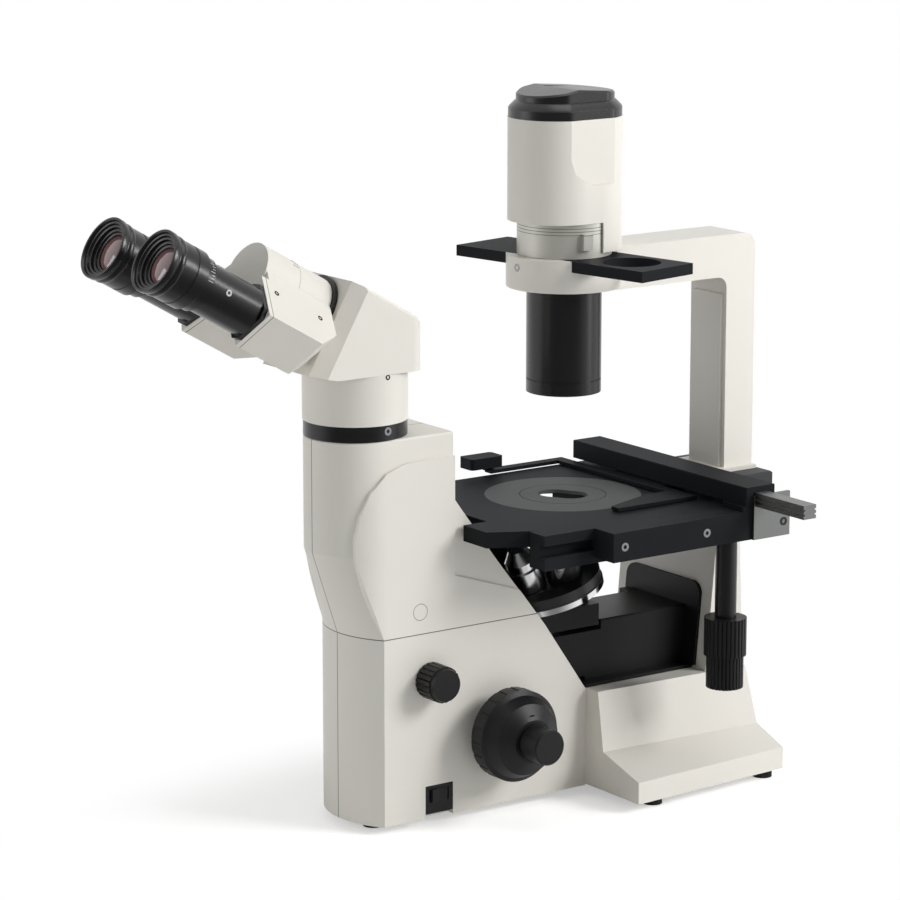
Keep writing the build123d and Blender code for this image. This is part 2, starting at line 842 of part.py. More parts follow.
def make_nosepiece():
    """Mount, turret with five seats, four objectives and a plug."""
    with BuildPart() as mount:
        with BuildSketch(level(carriage_low_z + carriage_thick, y=mount_centre_y)):
            Circle(mount_radius)
        extrude(amount=mount_top)
        with BuildSketch(nose(mount_top)):
            Circle(turret_radius * 2)
        extrude(amount=mount_top, mode=Mode.SUBTRACT)
        with BuildSketch(level(0)):
            Circle(seat_bore)
        extrude(amount=body_top_z, mode=Mode.SUBTRACT)
        with BuildSketch(nose(mount_top)):
            Circle(pivot_radius + fit_gap)
        extrude(amount=pivot_low - mount_top - clearance, mode=Mode.SUBTRACT)
    save(mount, "nosepiece_mount")
    turret_axis = Axis(nose(0).origin, nose(0).z_dir)
    upright = Plane(origin=nose(0).origin, x_dir=(1, 0, 0), z_dir=-nose(0).y_dir)
    with BuildPart() as turret:
        with BuildSketch(upright):
            with BuildLine():
                Polyline(
                    (0, pivot_low),
                    (pivot_radius, pivot_low),
                    (pivot_radius, turret_low),
                    (turret_radius, turret_low),
                    (turret_radius, turret_ring),
                    (turret_radius - clearance * 2, turret_ring),
                    (turret_radius - clearance * 2, turret_band),
                    (turret_top_radius, turret_top),
                    (0, turret_top),
                    close=True,
                )
            make_face()
        revolve(axis=turret_axis)
        for turn in (*objective_turns, plug_turn):
            with BuildSketch(seat(turn, turret_band)):
                Circle(seat_radius)
            extrude(amount=seat_distance - turret_band)
        for turn in (*objective_turns, plug_turn):
            with BuildSketch(seat(turn, turret_low - pivot_radius)):
                Circle(seat_bore)
            extrude(amount=seat_distance, mode=Mode.SUBTRACT)
            with BuildSketch(seat(turn, seat_distance)):
                Circle(objective_radius + clearance)
            extrude(amount=seat_distance, mode=Mode.SUBTRACT)
    save(turret, "turret")
    with BuildPart() as objectives:
        for turn, length in zip(objective_turns, objective_lengths):
            with BuildSketch(seat(turn, seat_distance)):
                Circle(objective_radius)
            extrude(amount=length * 0.55)
            with BuildSketch(seat(turn, seat_distance + length * 0.55)):
                Circle(objective_radius - clearance * 3)
            extrude(amount=length * 0.2)
            with BuildSketch(seat(turn, seat_distance + length * 0.75)):
                Circle(objective_radius - clearance * 3)
            narrowing = atan2(objective_radius - clearance * 3 - objective_nose, length * 0.25)
            extrude(amount=length * 0.25, taper=degrees(narrowing))
    save(objectives, "objectives")
    with BuildPart() as cap:
        with BuildSketch(seat(plug_turn, seat_distance)):
            Circle(seat_radius - clearance)
        extrude(amount=nose_plug_thick)
    save(cap, "nosepiece_plug")


# Stage
front_flat_half = 65.0
stage_cut_y = -84.0
stage_notch_half = 38.4
stage_notch_y = -93.5
opening_radius = 50.5
insert_radius = 55.0
insert_thick = 2.5
kidney_length = 36.0
kidney_width = 24.0
groove_radius = 30.0
groove_wide = 0.6
bracket_front_y = -125.0
bracket_rear_y = -80.0
rail_wide = 17.0
rail_far_x = stage_half + rail_wide
rail_front_y = -88.0
rail_rear_y = 100.0
rail_low_z = 184.0
slot_deep = 6.0
slot_low_z = 193.0
slot_top_z = 201.0
carriage_wide = 21.0
carriage_far_x = rail_far_x + carriage_wide
y_carriage_front_y = -46.0
y_carriage_rear_y = 106.0
y_carriage_low_z = 188.0
pad_front_y = 66.0
pad_rear_y = 98.0
end_plate_front_y = 74.0
end_plate_top_z = 219.0
end_plate_thick = 2.5
channel_left_x = -79.0
channel_front_y = 69.0
channel_rear_y = 94.0
channel_low_z = 212.0
channel_top_z = 225.0
channel_roof = 4.0
bar_front_y = 76.0
bar_rear_y = 87.0
bar_low_z = 211.3
bar_left_x = -60.0
bar_groove = 1.2
holder_low_z = 208.8
holder_back_front_y = 56.0
holder_back_rear_y = 65.0
holder_left_x = -88.0
holder_arm_width = 8.0
holder_right_x = 61.0
holder_arm_y = -4.0
holder_foot_half = 30.0
clip_thick = 8.0
clip_half = 8.0
clip_length = 20.0
clip_z = 222.0
drive_inset = 11.0
drive_x = carriage_far_x - drive_inset
drive_y = 61.0
sleeve_radius = 7.5
sleeve_low_z = 133.0
y_knob_radius = 14.8
y_knob_low_z = 106.0
x_knob_radius = 13.0
x_knob_low_z = 83.0
spindle_radius = 4.0
spindle_low_z = 90.0
knob_ribs = 30
knob_rib = 0.8


def make_stage():
    """Fixed plate with its insert, the fixed rail and the bracket in the stand."""
    with BuildPart() as plate:
        with BuildSketch(level(stage_under_z)):
            with BuildLine():
                Polyline(
                    (-stage_half, stage_cut_y),
                    (-front_flat_half, stage_front_y),
                    (-stage_notch_half, stage_front_y),
                    (-stage_notch_half, stage_notch_y),
                    (stage_notch_half, stage_notch_y),
                    (stage_notch_half, stage_front_y),
                    (front_flat_half, stage_front_y),
                    (stage_half, stage_cut_y),
                    (stage_half, stage_rear_y),
                    (-stage_half, stage_rear_y),
                    close=True,
                )
            make_face()
            Circle(opening_radius, mode=Mode.SUBTRACT)
        extrude(amount=stage_thick)
        with BuildSketch(level(stage_top_z)):
            Circle(insert_radius + fit_gap)
        extrude(amount=-insert_thick, mode=Mode.SUBTRACT)
    with BuildPart() as insert:
        with BuildSketch(level(stage_top_z - insert_thick)):
            Circle(insert_radius)
            SlotOverall(kidney_length, kidney_width, rotation=head_tilt, mode=Mode.SUBTRACT)
        extrude(amount=insert_thick)
        with BuildSketch(level(stage_top_z)):
            Circle(groove_radius + groove_wide)
            Circle(groove_radius, mode=Mode.SUBTRACT)
        extrude(amount=-groove_wide, mode=Mode.SUBTRACT)
    save(insert, "stage_insert")
    with BuildPart() as bracket:
        with BuildSketch(level(y_carriage_low_z)):
            with BuildLine():
                half = nose_radius - shell_wall
                box_outline((-half, bracket_front_y), (half, bracket_rear_y))
            make_face()
        extrude(amount=stage_under_z - y_carriage_low_z)
    with BuildPart() as fixed_stage:
        add(plate.part)
        add(bracket.part)
    save(fixed_stage, "stage_plate")
    with BuildPart() as rail:
        with BuildSketch(front(rail_rear_y)):
            with BuildLine():
                box_outline((stage_half, rail_low_z), (rail_far_x, stage_top_z))
            make_face()
            with BuildLine():
                box_outline((rail_far_x - slot_deep, slot_low_z), (rail_far_x, slot_top_z))
            make_face(mode=Mode.SUBTRACT)
        extrude(amount=rail_rear_y - rail_front_y)
    save(rail, "y_rail")


def make_stage_drive():
    """Carriages, channel, rack bar, specimen holder and the coaxial knobs."""
    with BuildPart() as carriage:
        near_x = rail_far_x + fit_gap
        with BuildSketch(level(y_carriage_low_z)):
            with BuildLine():
                box_outline((near_x, y_carriage_front_y), (carriage_far_x, y_carriage_rear_y))
            make_face()
        extrude(amount=stage_top_z - y_carriage_low_z)
        with BuildSketch(level(stage_top_z)):
            with BuildLine():
                box_outline((near_x, pad_front_y), (carriage_far_x, pad_rear_y))
            make_face()
        extrude(amount=channel_low_z - stage_top_z)
        with BuildSketch(front(y_carriage_rear_y)):
            with BuildLine():
                box_outline(
                    (rail_far_x - slot_deep + fit_gap, slot_low_z + fit_gap),
                    (near_x, slot_top_z - fit_gap),
                )
            make_face()
        extrude(amount=y_carriage_rear_y - y_carriage_front_y)
        with BuildSketch(level(channel_low_z)):
            with BuildLine():
                box_outline(
                    (stage_half, bar_front_y - seat_gap),
                    (carriage_far_x + overrun, bar_rear_y + seat_gap),
                )
            make_face()
        extrude(amount=bar_low_z - channel_low_z - seat_gap, mode=Mode.SUBTRACT)
    save(carriage, "y_carriage")
    with BuildPart() as end_plate:
        with BuildSketch(side(carriage_far_x)):
            with BuildLine():
                box_outline((end_plate_front_y, y_carriage_low_z), (y_carriage_rear_y, end_plate_top_z))
            make_face()
            with BuildLine():
                box_outline(
                    (bar_front_y - seat_gap, bar_low_z - seat_gap),
                    (bar_rear_y + seat_gap, end_plate_top_z + overrun),
                )
            make_face(mode=Mode.SUBTRACT)
        extrude(amount=end_plate_thick)
    save(end_plate, "end_plate")
    with BuildPart() as channel:
        with BuildSketch(side(channel_left_x)):
            with BuildLine():
                box_outline((channel_front_y, channel_low_z), (channel_rear_y, channel_top_z))
            make_face()
            with BuildLine():
                box_outline(
                    (bar_front_y - fit_gap, channel_low_z),
                    (bar_rear_y + fit_gap, channel_top_z - channel_roof),
                )
            make_face(mode=Mode.SUBTRACT)
        extrude(amount=carriage_far_x - channel_left_x)
        chamfer(channel.edges().filter_by(Axis.X).group_by(Axis.Z)[-1], clearance)
    save(channel, "x_channel")
    with BuildPart() as bar:
        bar_top_z = channel_top_z - channel_roof - fit_gap
        with BuildSketch(side(bar_left_x)):
            with BuildLine():
                box_outline((bar_front_y, bar_low_z), (bar_rear_y, bar_top_z))
            make_face()
            for share in (0.25, 0.6):
                height = bar_low_z + (bar_top_z - bar_low_z) * share
                for y, deep in ((bar_front_y, bar_groove), (bar_rear_y, -bar_groove)):
                    with BuildLine():
                        box_outline((y, height), (y + deep, height + bar_groove))
                    make_face(mode=Mode.SUBTRACT)
        extrude(amount=rack_end_x - bar_left_x)
    save(bar, "rack_bar")
    with BuildPart() as holder:
        with BuildSketch(level(holder_low_z)):
            with BuildLine():
                Polyline(
                    (holder_left_x, holder_arm_y),
                    (holder_left_x + holder_arm_width, holder_arm_y),
                    (holder_left_x + holder_arm_width, holder_back_front_y),
                    (holder_right_x - holder_arm_width * 2, holder_back_front_y),
                    (holder_right_x - holder_arm_width * 2, holder_back_front_y - holder_arm_width * 2),
                    (holder_right_x, holder_arm_y),
                    (holder_right_x + holder_arm_width, holder_arm_y),
                    (holder_right_x + holder_arm_width, holder_back_rear_y),
                    (holder_left_x, holder_back_rear_y),
                    close=True,
                )
            make_face()
            with BuildLine():
                box_outline((-holder_foot_half, holder_back_front_y), (holder_foot_half, bar_rear_y))
            make_face()
        extrude(amount=bar_low_z - holder_low_z)
    save(holder, "specimen_holder")
    with BuildPart() as clip:
        clip_x = holder_left_x + holder_arm_width / 2
        with BuildSketch(level(bar_low_z, x=clip_x, y=holder_arm_y)):
            Circle(holder_arm_width / 2)
        extrude(amount=clip_z - bar_low_z - clip_thick)
        with BuildSketch(level(clip_z - clip_thick, x=clip_x, y=holder_arm_y)):
            with BuildLine():
                box_outline((-clip_half, -clip_length), (clip_half, clip_half))
            make_face()
        extrude(amount=clip_thick)
        fillet(clip.edges().filter_by(Axis.Z), clip_half / 3)
    save(clip, "spring_clip")
    with BuildPart() as sleeve:
        with BuildSketch(level(y_carriage_low_z, x=drive_x, y=drive_y)):
            Circle(sleeve_radius)
        extrude(amount=sleeve_low_z - y_carriage_low_z)
        with BuildSketch(level(sleeve_low_z, x=drive_x, y=drive_y)):
            Circle(spindle_radius)
        extrude(amount=spindle_low_z - sleeve_low_z)
    save(sleeve, "drive_sleeve")
    knobs = (
        ("y_drive_knob", y_knob_radius, sleeve_low_z - seat_gap, y_knob_low_z, y_knob_low_z - overrun),
        ("x_drive_knob", x_knob_radius, y_knob_low_z - seat_gap, x_knob_low_z, spindle_low_z - seat_gap),
    )
    for name, radius, high_z, low_z, bore_low_z in knobs:
        with BuildPart() as knob:
            with BuildSketch(level(low_z, x=drive_x, y=drive_y)):
                Circle(radius)
                with PolarLocations(radius, knob_ribs):
                    RegularPolygon(knob_rib, 4, mode=Mode.SUBTRACT)
            extrude(amount=high_z - low_z)
            with BuildSketch(level(bore_low_z, x=drive_x, y=drive_y)):
                Circle(spindle_radius + fit_gap)
            extrude(amount=high_z - bore_low_z, mode=Mode.SUBTRACT)
        save(knob, name)


make_nosepiece()
make_stage()
make_stage_drive()

# Pillar, arm and illumination
arm_half = 19.9
arm_low_z = 353.0
arm_top_z = 383.0
pillar_front_y = 129.5
pillar_rear_y = 155.2
pillar_outer_corner = 10.0
pillar_inner_corner = 8.0
strip_half = 16.0
strip_deep = 2.0
strip_top_z = 340.0
flange_half = 25.0
flange_thick = 2.5
flange_front_y = 123.0
carrier_radius = 40.5
carrier_low_z = 357.0
carrier_top_z = 379.5
carrier_bore = 18.0
slot_turn = 11.0
slider_half = 26.4
slider_thick = 7.6
slider_front = -78.0
slider_rear = 94.0
slider_hole = 20.0
slider_hole_at = 62.0
condenser_radius = 26.2
condenser_wall = 3.2
condenser_low_z = 282.6
condenser_groove_z = 291.7
condenser_groove = 0.8
condenser_lens_z = 288.0
condenser_lens_thick = 4.0
field_radius = 33.0
field_low_z = carrier_top_z + seat_gap
field_top_z = 403.6
field_bore = 20.0
lever_radius = 36.5
lever_half = 3.5
lever_low_z = 386.0
lever_top_z = 397.0
lever_turn = -10.0
lamp_low_z = 403.8
lamp_top_z = 475.0
lamp_half = 34.0
lamp_offset = 7.0
lamp_flat = 32.0
lamp_wall = 5.0
lamp_leg_y = 8.0
lamp_floor = 5.0
lens_bore = 16.0
flat_outline = ((-19.6, 475.0), (-21.2, 455.7), (-15.1, 438.2), (-2.2, 430.2), (lamp_half, 430.2))
cap_low_step = 12.0
cap_low_out = 1.0
cap_bevel = 3.0
cap_high_step = 8.0
cap_high_in = 4.0
cap_round = 3.0
bulb_radius = 6.0
bulb_z = 436.0
socket_radius = 10.0
socket_low_z = 412.0


def stadium(half, ends):
    """Outline with straight sides along Y and round ends."""
    SlotOverall(2 * (half + ends), 2 * half, rotation=90)


def make_illumination():
    """Pillar with its arm and carrier ring, filter slider, condenser, field ring and lamp."""
    with BuildPart() as pillar:
        with BuildSketch(side(-arm_half)) as shape:
            with BuildLine():
                Polyline(
                    (pillar_front_y, pillar_base_top_z),
                    (pillar_rear_y, pillar_base_top_z),
                    (pillar_rear_y, arm_top_z),
                    (0, arm_top_z),
                    (0, arm_low_z),
                    (pillar_front_y, arm_low_z),
                    close=True,
                )
            make_face()
            corner = shape.vertices().sort_by_distance((pillar_rear_y, arm_top_z))[0]
            fillet(corner, pillar_outer_corner)
            corner = shape.vertices().sort_by_distance((pillar_front_y, arm_low_z))[0]
            fillet(corner, pillar_inner_corner)
        extrude(amount=arm_half * 2)
        with BuildSketch(level(arm_low_z)):
            Circle(lamp_half)
        extrude(amount=arm_top_z - arm_low_z, mode=Mode.SUBTRACT)
        with BuildSketch(level(carrier_low_z)):
            Circle(carrier_radius)
        extrude(amount=carrier_top_z - carrier_low_z)
        with BuildSketch(level(carrier_top_z)):
            Circle(field_radius + clearance)
        extrude(amount=arm_top_z, mode=Mode.SUBTRACT)
        with BuildSketch(level(carrier_low_z)):
            Circle(carrier_bore)
        extrude(amount=carrier_top_z, mode=Mode.SUBTRACT)
        with BuildSketch(level(carrier_top_z - slider_thick - fit_gap)):
            Rectangle(carrier_radius * 3, (slider_half + fit_gap) * 2, rotation=slot_turn)
        extrude(amount=slider_thick + fit_gap + clearance, mode=Mode.SUBTRACT)
        with BuildSketch(level(pillar_base_top_z)):
            with BuildLine():
                box_outline((-flange_half, flange_front_y), (flange_half, pillar_rear_y))
            make_face()
        extrude(amount=flange_thick)
        with BuildSketch(front(pillar_front_y)):
            with BuildLine():
                box_outline((-strip_half, pillar_base_top_z), (strip_half, strip_top_z))
            make_face()
        extrude(amount=strip_deep)
    save(pillar, "pillar_arm")
    with BuildPart() as slider:
        turn = radians(slot_turn)
        with BuildSketch(level(carrier_top_z - slider_thick)):
            middle = (slider_front + slider_rear) / 2
            with Locations((middle * cos(turn), middle * sin(turn))):
                Rectangle(slider_rear - slider_front, slider_half * 2, rotation=slot_turn)
            Circle(carrier_bore, mode=Mode.SUBTRACT)
            with Locations((slider_hole_at * cos(turn), slider_hole_at * sin(turn))):
                Circle(slider_hole, mode=Mode.SUBTRACT)
        extrude(amount=slider_thick)
    save(slider, "filter_slider")
    with BuildPart() as condenser:
        with BuildSketch(level(condenser_low_z)):
            Circle(condenser_radius)
            Circle(condenser_radius - condenser_wall, mode=Mode.SUBTRACT)
        extrude(amount=carrier_low_z - condenser_low_z)
        with BuildSketch(level(condenser_groove_z)):
            Circle(condenser_radius + overrun)
            Circle(condenser_radius - condenser_groove, mode=Mode.SUBTRACT)
        extrude(amount=condenser_groove, mode=Mode.SUBTRACT)
    with BuildPart() as front_lens:
        with BuildSketch(level(condenser_lens_z)):
            Circle(condenser_radius - condenser_wall)
        extrude(amount=condenser_lens_thick)
    with BuildPart() as condenser_whole:
        add(condenser.part)
        add(front_lens.part)
    save(condenser_whole, "condenser_tube")
    with BuildPart() as field:
        with BuildSketch(level(field_low_z)):
            Circle(field_radius)
            Circle(field_bore, mode=Mode.SUBTRACT)
        extrude(amount=field_top_z - field_low_z)
        turn = radians(lever_turn)
        with BuildSketch(level(lever_low_z)):
            middle = (field_radius + lever_radius) / 2 - overrun
            with Locations((middle * cos(turn), middle * sin(turn))):
                Rectangle(lever_radius - field_radius + overrun * 2, lever_half * 2, rotation=lever_turn)
        extrude(amount=lever_top_z - lever_low_z)
    save(field, "field_ring")
    with BuildPart() as lamp:
        with BuildSketch(level(lamp_low_z)):
            stadium(lamp_half, lamp_offset)
        extrude(amount=lamp_top_z - lamp_low_z)
        with BuildSketch(level(arm_top_z)):
            stadium(lamp_half, lamp_offset)
            with BuildLine():
                box_outline((-lamp_half * 2, -lamp_half * 2), (lamp_half * 2, lamp_leg_y))
            make_face(mode=Mode.SUBTRACT)
            Circle(field_radius + clearance, mode=Mode.SUBTRACT)
        extrude(amount=lamp_low_z - arm_top_z)
        with BuildSketch(side(lamp_flat)):
            with BuildLine():
                Polyline(*flat_outline, (lamp_half * 2, lamp_top_z), close=True)
            make_face()
        extrude(amount=lamp_half, mode=Mode.SUBTRACT)
        with BuildSketch(side(-lamp_flat)):
            with BuildLine():
                Polyline(*flat_outline, (lamp_half * 2, lamp_top_z), close=True)
            make_face()
        extrude(amount=-lamp_half, mode=Mode.SUBTRACT)
        with BuildSketch(level(lamp_low_z + lamp_floor)):
            stadium(lamp_half - lamp_wall, lamp_offset)
        extrude(amount=lamp_top_z, mode=Mode.SUBTRACT)
        with BuildSketch(level(lamp_low_z)):
            Circle(lens_bore)
        extrude(amount=lamp_floor, mode=Mode.SUBTRACT)
    save(lamp, "lamp_house")
    with BuildPart() as cap:
        with BuildSketch(level(lamp_top_z)):
            stadium(lamp_half + cap_low_out, lamp_offset)
        extrude(amount=cap_low_step)
        chamfer(cap.edges().group_by(Axis.Z)[-1], cap_bevel)
        with BuildSketch(level(lamp_top_z + cap_low_step)):
            stadium(lamp_half - cap_high_in, lamp_offset)
        extrude(amount=cap_high_step)
        chamfer(cap.edges().group_by(Axis.Z)[-1], cap_round / 2)
    save(cap, "lamp_cap")
    with BuildPart() as bulb:
        with BuildSketch(level(lamp_low_z + lamp_floor)):
            with Locations((0, lamp_half - lamp_wall - socket_radius / 2)):
                Circle(socket_radius)
        extrude(amount=bulb_z - lamp_low_z - lamp_floor)
        with BuildSketch(level(bulb_z)):
            with Locations((0, lamp_half - lamp_wall - socket_radius / 2)):
                Circle(bulb_radius)
        extrude(amount=bulb_radius * 3)
        chamfer(bulb.edges().group_by(Axis.Z)[-1], bulb_radius / 2)
    save(bulb, "lamp_bulb")


make_illumination()

# Head
clamp_top_z = 283.8
clamp_bore = 27.0
spigot_low_z = 276.0
head_tube_radius = 35.7
head_tube_top_z = 318.0
head_half = 36.0
head_face_half = 28.0
head_face_along = 6.0
head_crease_along = -3.5
head_roof = 24.6
head_rear_y = -142.0
head_rear_corner = 10.0
head_nose_z = 322.0
head_heel_y = -212.0
hinge_ring_radius = 23.5
wing_near = 9.0
wing_far = 65.0
wing_split = 37.0
wing_half = 16.6
wing_reach = 58.0
wing_corner_near = 41.0
wing_corner_far = 25.0
drum_radius = 21.0
drum_gap = 0.3
drum_far = 66.0
face_far = 71.3
widest_droop = 54.0
flange_far = 74.5
flange_square = 16.0
flange_corner = 5.0
eyetube_radius = 17.0
eyetube_far = 116.0
ring_radius = 18.5
ring_far = 123.0
ring_bore = 14.0
eyepiece_radius = 20.5
eyepiece_far = 145.0
cup_bore = 15.5
hinge_pin = 4.0


def wing(along, hand):
    """Plane across a wing of the head, drawn as (outward, across)."""
    base = eyeline(along)
    droop = radians(wing_droop)
    return Plane(
        origin=base.origin,
        x_dir=base.x_dir * hand * cos(droop) - base.y_dir * sin(droop),
        z_dir=base.z_dir,
    )


def make_head():
    """Clamp ring, turning head and the hinge ring."""
    with BuildPart() as clamp:
        with BuildSketch(level(body_top_z, y=head_axis_y)):
            Circle(nose_radius)
            Circle(clamp_bore, mode=Mode.SUBTRACT)
        extrude(amount=clamp_top_z - body_top_z)
    save(clamp, "clamp_ring")
    with BuildPart() as head:
        lean_angle = radians(head_tilt)

        def on_side(along, up):
            return (
                head_plane_y - along * cos(lean_angle) + up * sin(lean_angle),
                head_plane_z + along * sin(lean_angle) + up * cos(lean_angle),
            )

        low_up = (head_nose_z - head_plane_z - head_face_along * sin(lean_angle)) / cos(lean_angle)
        roof_front = on_side(head_face_along, head_roof)
        roof_rear_z = roof_front[1] - (head_rear_y - roof_front[0]) * tan(lean_angle)
        with BuildSketch(side(-head_half)):
            with BuildLine():
                Polyline(
                    (head_rear_y, head_tube_top_z),
                    (head_rear_y, roof_rear_z),
                    roof_front,
                    on_side(head_face_along, low_up),
                    (head_heel_y, head_tube_top_z),
                    close=True,
                )
            make_face()
        extrude(amount=head_half * 2)
        roof = Plane(origin=eyeline(0).origin, x_dir=(1, 0, 0), z_dir=eyeline(0).y_dir)
        with BuildSketch(roof):
            with BuildLine():
                Polyline(
                    (-head_face_half, -head_face_along),
                    (head_face_half, -head_face_along),
                    (head_half, -head_crease_along),
                    (head_half, head_half * 4),
                    (-head_half, head_half * 4),
                    (-head_half, -head_crease_along),
                    close=True,
                )
            make_face()
        extrude(amount=head_half * 4, both=True, mode=Mode.INTERSECT)
        rear_edges = head.edges().filter_by(Axis.Z).group_by(Axis.Y)[-1]
        fillet(rear_edges, head_rear_corner)
        chamfer(head.faces().sort_by(Axis.Y)[-1].edges().group_by(Axis.Z)[-1], clearance * 4)
        with BuildSketch(level(clamp_top_z, y=head_axis_y)):
            Circle(head_tube_radius)
        extrude(amount=head_tube_top_z - clamp_top_z)
        with BuildSketch(level(spigot_low_z, y=head_axis_y)):
            Circle(clamp_bore - fit_gap)
        extrude(amount=clamp_top_z - spigot_low_z)
        with BuildSketch(level(spigot_low_z, y=head_axis_y)):
            Circle(relay_bore)
        extrude(amount=head_tube_top_z - spigot_low_z, mode=Mode.SUBTRACT)
        with BuildSketch(eyeline(head_face_along)):
            Circle(hinge_ring_radius)
        extrude(amount=wing_near - head_face_along - seat_gap)
        with BuildSketch(eyeline(head_face_along)):
            Circle(hinge_pin)
        extrude(amount=drum_far - head_face_along)
    save(head, "head_housing")


def make_wings():
    """Prism boxes on the hinge, eyetubes, dioptre rings and eyepieces."""
    for hand, side_name in ((1, "right"), (-1, "left")):
        own_near, own_far = (wing_split, drum_far) if hand > 0 else (wing_near, wing_split - drum_gap)
        free_near, free_far = (wing_near, wing_split) if hand > 0 else (wing_split - drum_gap, drum_far)
        low = -hand * wing_half
        with BuildPart() as prism_box:
            with BuildSketch(wing(wing_near, hand)):
                with BuildLine():
                    Polyline(
                        (drum_gap, -low),
                        (wing_reach, -low),
                        (wing_reach, low),
                        ((drum_gap + wing_half * sin(radians(widest_droop))) / cos(radians(widest_droop)), low),
                        (drum_gap, 0),
                        close=True,
                    )
                make_face()
            extrude(amount=wing_far - wing_near)
            sideways = Plane(
                origin=wing(0, hand).origin + wing(0, hand).y_dir * wing_half,
                x_dir=wing(0, hand).x_dir,
                z_dir=wing(0, hand).y_dir,
            )
            with BuildSketch(sideways):
                with BuildLine():
                    Polyline(
                        (wing_corner_near, -wing_near + overrun),
                        (wing_reach + overrun, -wing_near + overrun),
                        (wing_reach + overrun, -wing_corner_far),
                        (wing_reach, -wing_corner_far),
                        (wing_corner_near, -wing_near),
                        close=True,
                    )
                make_face()
            extrude(amount=-wing_half * 2, mode=Mode.SUBTRACT)
            with BuildSketch(wing(free_near, hand)):
                Circle(drum_radius + drum_gap)
            extrude(amount=free_far - free_near, mode=Mode.SUBTRACT)
            with BuildSketch(wing(own_near, hand)):
                Circle(drum_radius)
            extrude(amount=own_far - own_near)
            with BuildSketch(wing(wing_near, hand)):
                Circle(hinge_pin + fit_gap)
            extrude(amount=drum_far, mode=Mode.SUBTRACT)
            with BuildSketch(wing(wing_far, hand)):
                with Locations(((drum_radius + drum_gap + wing_reach) / 2, 0)):
                    Rectangle(wing_reach - drum_radius - drum_gap, wing_half * 2)
            extrude(amount=face_far - wing_far)
        save(prism_box, f"prism_box_{side_name}")
        with BuildPart() as eyetube:
            with BuildSketch(wing(face_far, hand)) as square:
                with Locations((hinge_arm, 0)):
                    Rectangle(flange_square * 2, flange_square * 2)
                chamfer(square.vertices(), flange_corner)
            extrude(amount=flange_far - face_far)
            with BuildSketch(wing(flange_far, hand)):
                with Locations((hinge_arm, 0)):
                    Circle(eyetube_radius)
            extrude(amount=eyetube_far - flange_far)
            with BuildSketch(wing(eyetube_far, hand)):
                with Locations((hinge_arm, 0)):
                    Circle(ring_bore)
            extrude(amount=ring_far - eyetube_far)
        save(eyetube, f"eyetube_{side_name}")
        with BuildPart() as ring:
            with BuildSketch(wing(eyetube_far + fit_gap, hand)):
                with Locations((hinge_arm, 0)):
                    Circle(ring_radius)
                    Circle(ring_bore + fit_gap * 2, mode=Mode.SUBTRACT)
            extrude(amount=ring_far - eyetube_far - fit_gap * 2)
        save(ring, f"dioptre_ring_{side_name}")
        with BuildPart() as eyepiece:
            with BuildSketch(wing(ring_far, hand)):
                with Locations((hinge_arm, 0)):
                    Circle(eyepiece_radius)
            extrude(amount=eyepiece_far - ring_far)
            with BuildSketch(wing(eyepiece_far + fit_gap, hand)):
                with Locations((hinge_arm, 0)):
                    Circle(eye_lip_radius)
                    Circle(cup_bore, mode=Mode.SUBTRACT)
            extrude(amount=eye_end - eyepiece_far - fit_gap)
        save(eyepiece, f"eyepiece_{side_name}")


# Power switch and inlet
switch_wall = 2.0
switch_deep = 9.0
rocker_half_y = 7.0
rocker_half_z = 4.5
rocker_z = 21.6
rocker_out = 2.0
rocker_gap = 1.0
inlet_half = 14.0
inlet_low_z = 20.0
inlet_top_z = 42.0
transformer_half = 26.0
transformer_front_y = 30.0
transformer_rear_y = 90.0
transformer_top_z = 60.0


def make_power():
    """Switch in the stand and the mains supply in the base."""
    face_x = panel_half - seat_gap
    middle_y = (notch_front_y + notch_rear_y) / 2
    with BuildPart() as housing:
        with BuildSketch(side(cavity_half_width)):
            with BuildLine():
                box_outline(
                    (notch_front_y + fit_gap, body_bottom_z + shell_wall),
                    (notch_rear_y - fit_gap, notch_top_z - fit_gap),
                )
            make_face()
        extrude(amount=face_x - cavity_half_width)
        with BuildSketch(side(cavity_half_width)):
            with Locations((middle_y, rocker_z)):
                Rectangle((rocker_half_y + rocker_gap + switch_wall) * 2, rocker_half_z * 2 + switch_wall)
        extrude(amount=-switch_deep)
        with BuildSketch(side(face_x)):
            with Locations((middle_y, rocker_z)):
                Rectangle((rocker_half_y + rocker_gap) * 2, (rocker_half_z + fit_gap) * 2)
        extrude(amount=-switch_deep, mode=Mode.SUBTRACT)
    save(housing, "switch_housing")
    with BuildPart() as rocker:
        deep_x = face_x - switch_deep / 2
        with BuildSketch(level(rocker_z - rocker_half_z)):
            with BuildLine():
                Polyline(
                    (deep_x, middle_y - rocker_half_y / 2),
                    (face_x, middle_y - rocker_half_y),
                    (face_x + rocker_out, middle_y - rocker_half_y + clearance),
                    (face_x + seat_gap, middle_y),
                    (face_x, middle_y + rocker_half_y),
                    (deep_x, middle_y + rocker_half_y / 2),
                    close=True,
                )
            make_face()
        extrude(amount=rocker_half_z * 2)
    save(rocker, "power_rocker")
    with BuildPart() as supply:
        with BuildSketch(level(base_top_z - base_wall)):
            with BuildLine():
                box_outline(
                    (-transformer_half, transformer_front_y),
                    (transformer_half, transformer_rear_y),
                )
            make_face()
        extrude(amount=transformer_top_z - base_top_z - transformer_half / 2)
    save(supply, "power_supply")


make_head()
make_wings()
make_power()
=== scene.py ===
# %% [markdown]
# # An inverted microscope
# The stand carries the objectives under the stage and the lamp above it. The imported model
# gives every rigid piece at its real place, so this lesson is about finishes, light, and
# the small details that a moulded or machined piece has.

import bpy
import bmesh
import math
from mathutils import Matrix, Vector


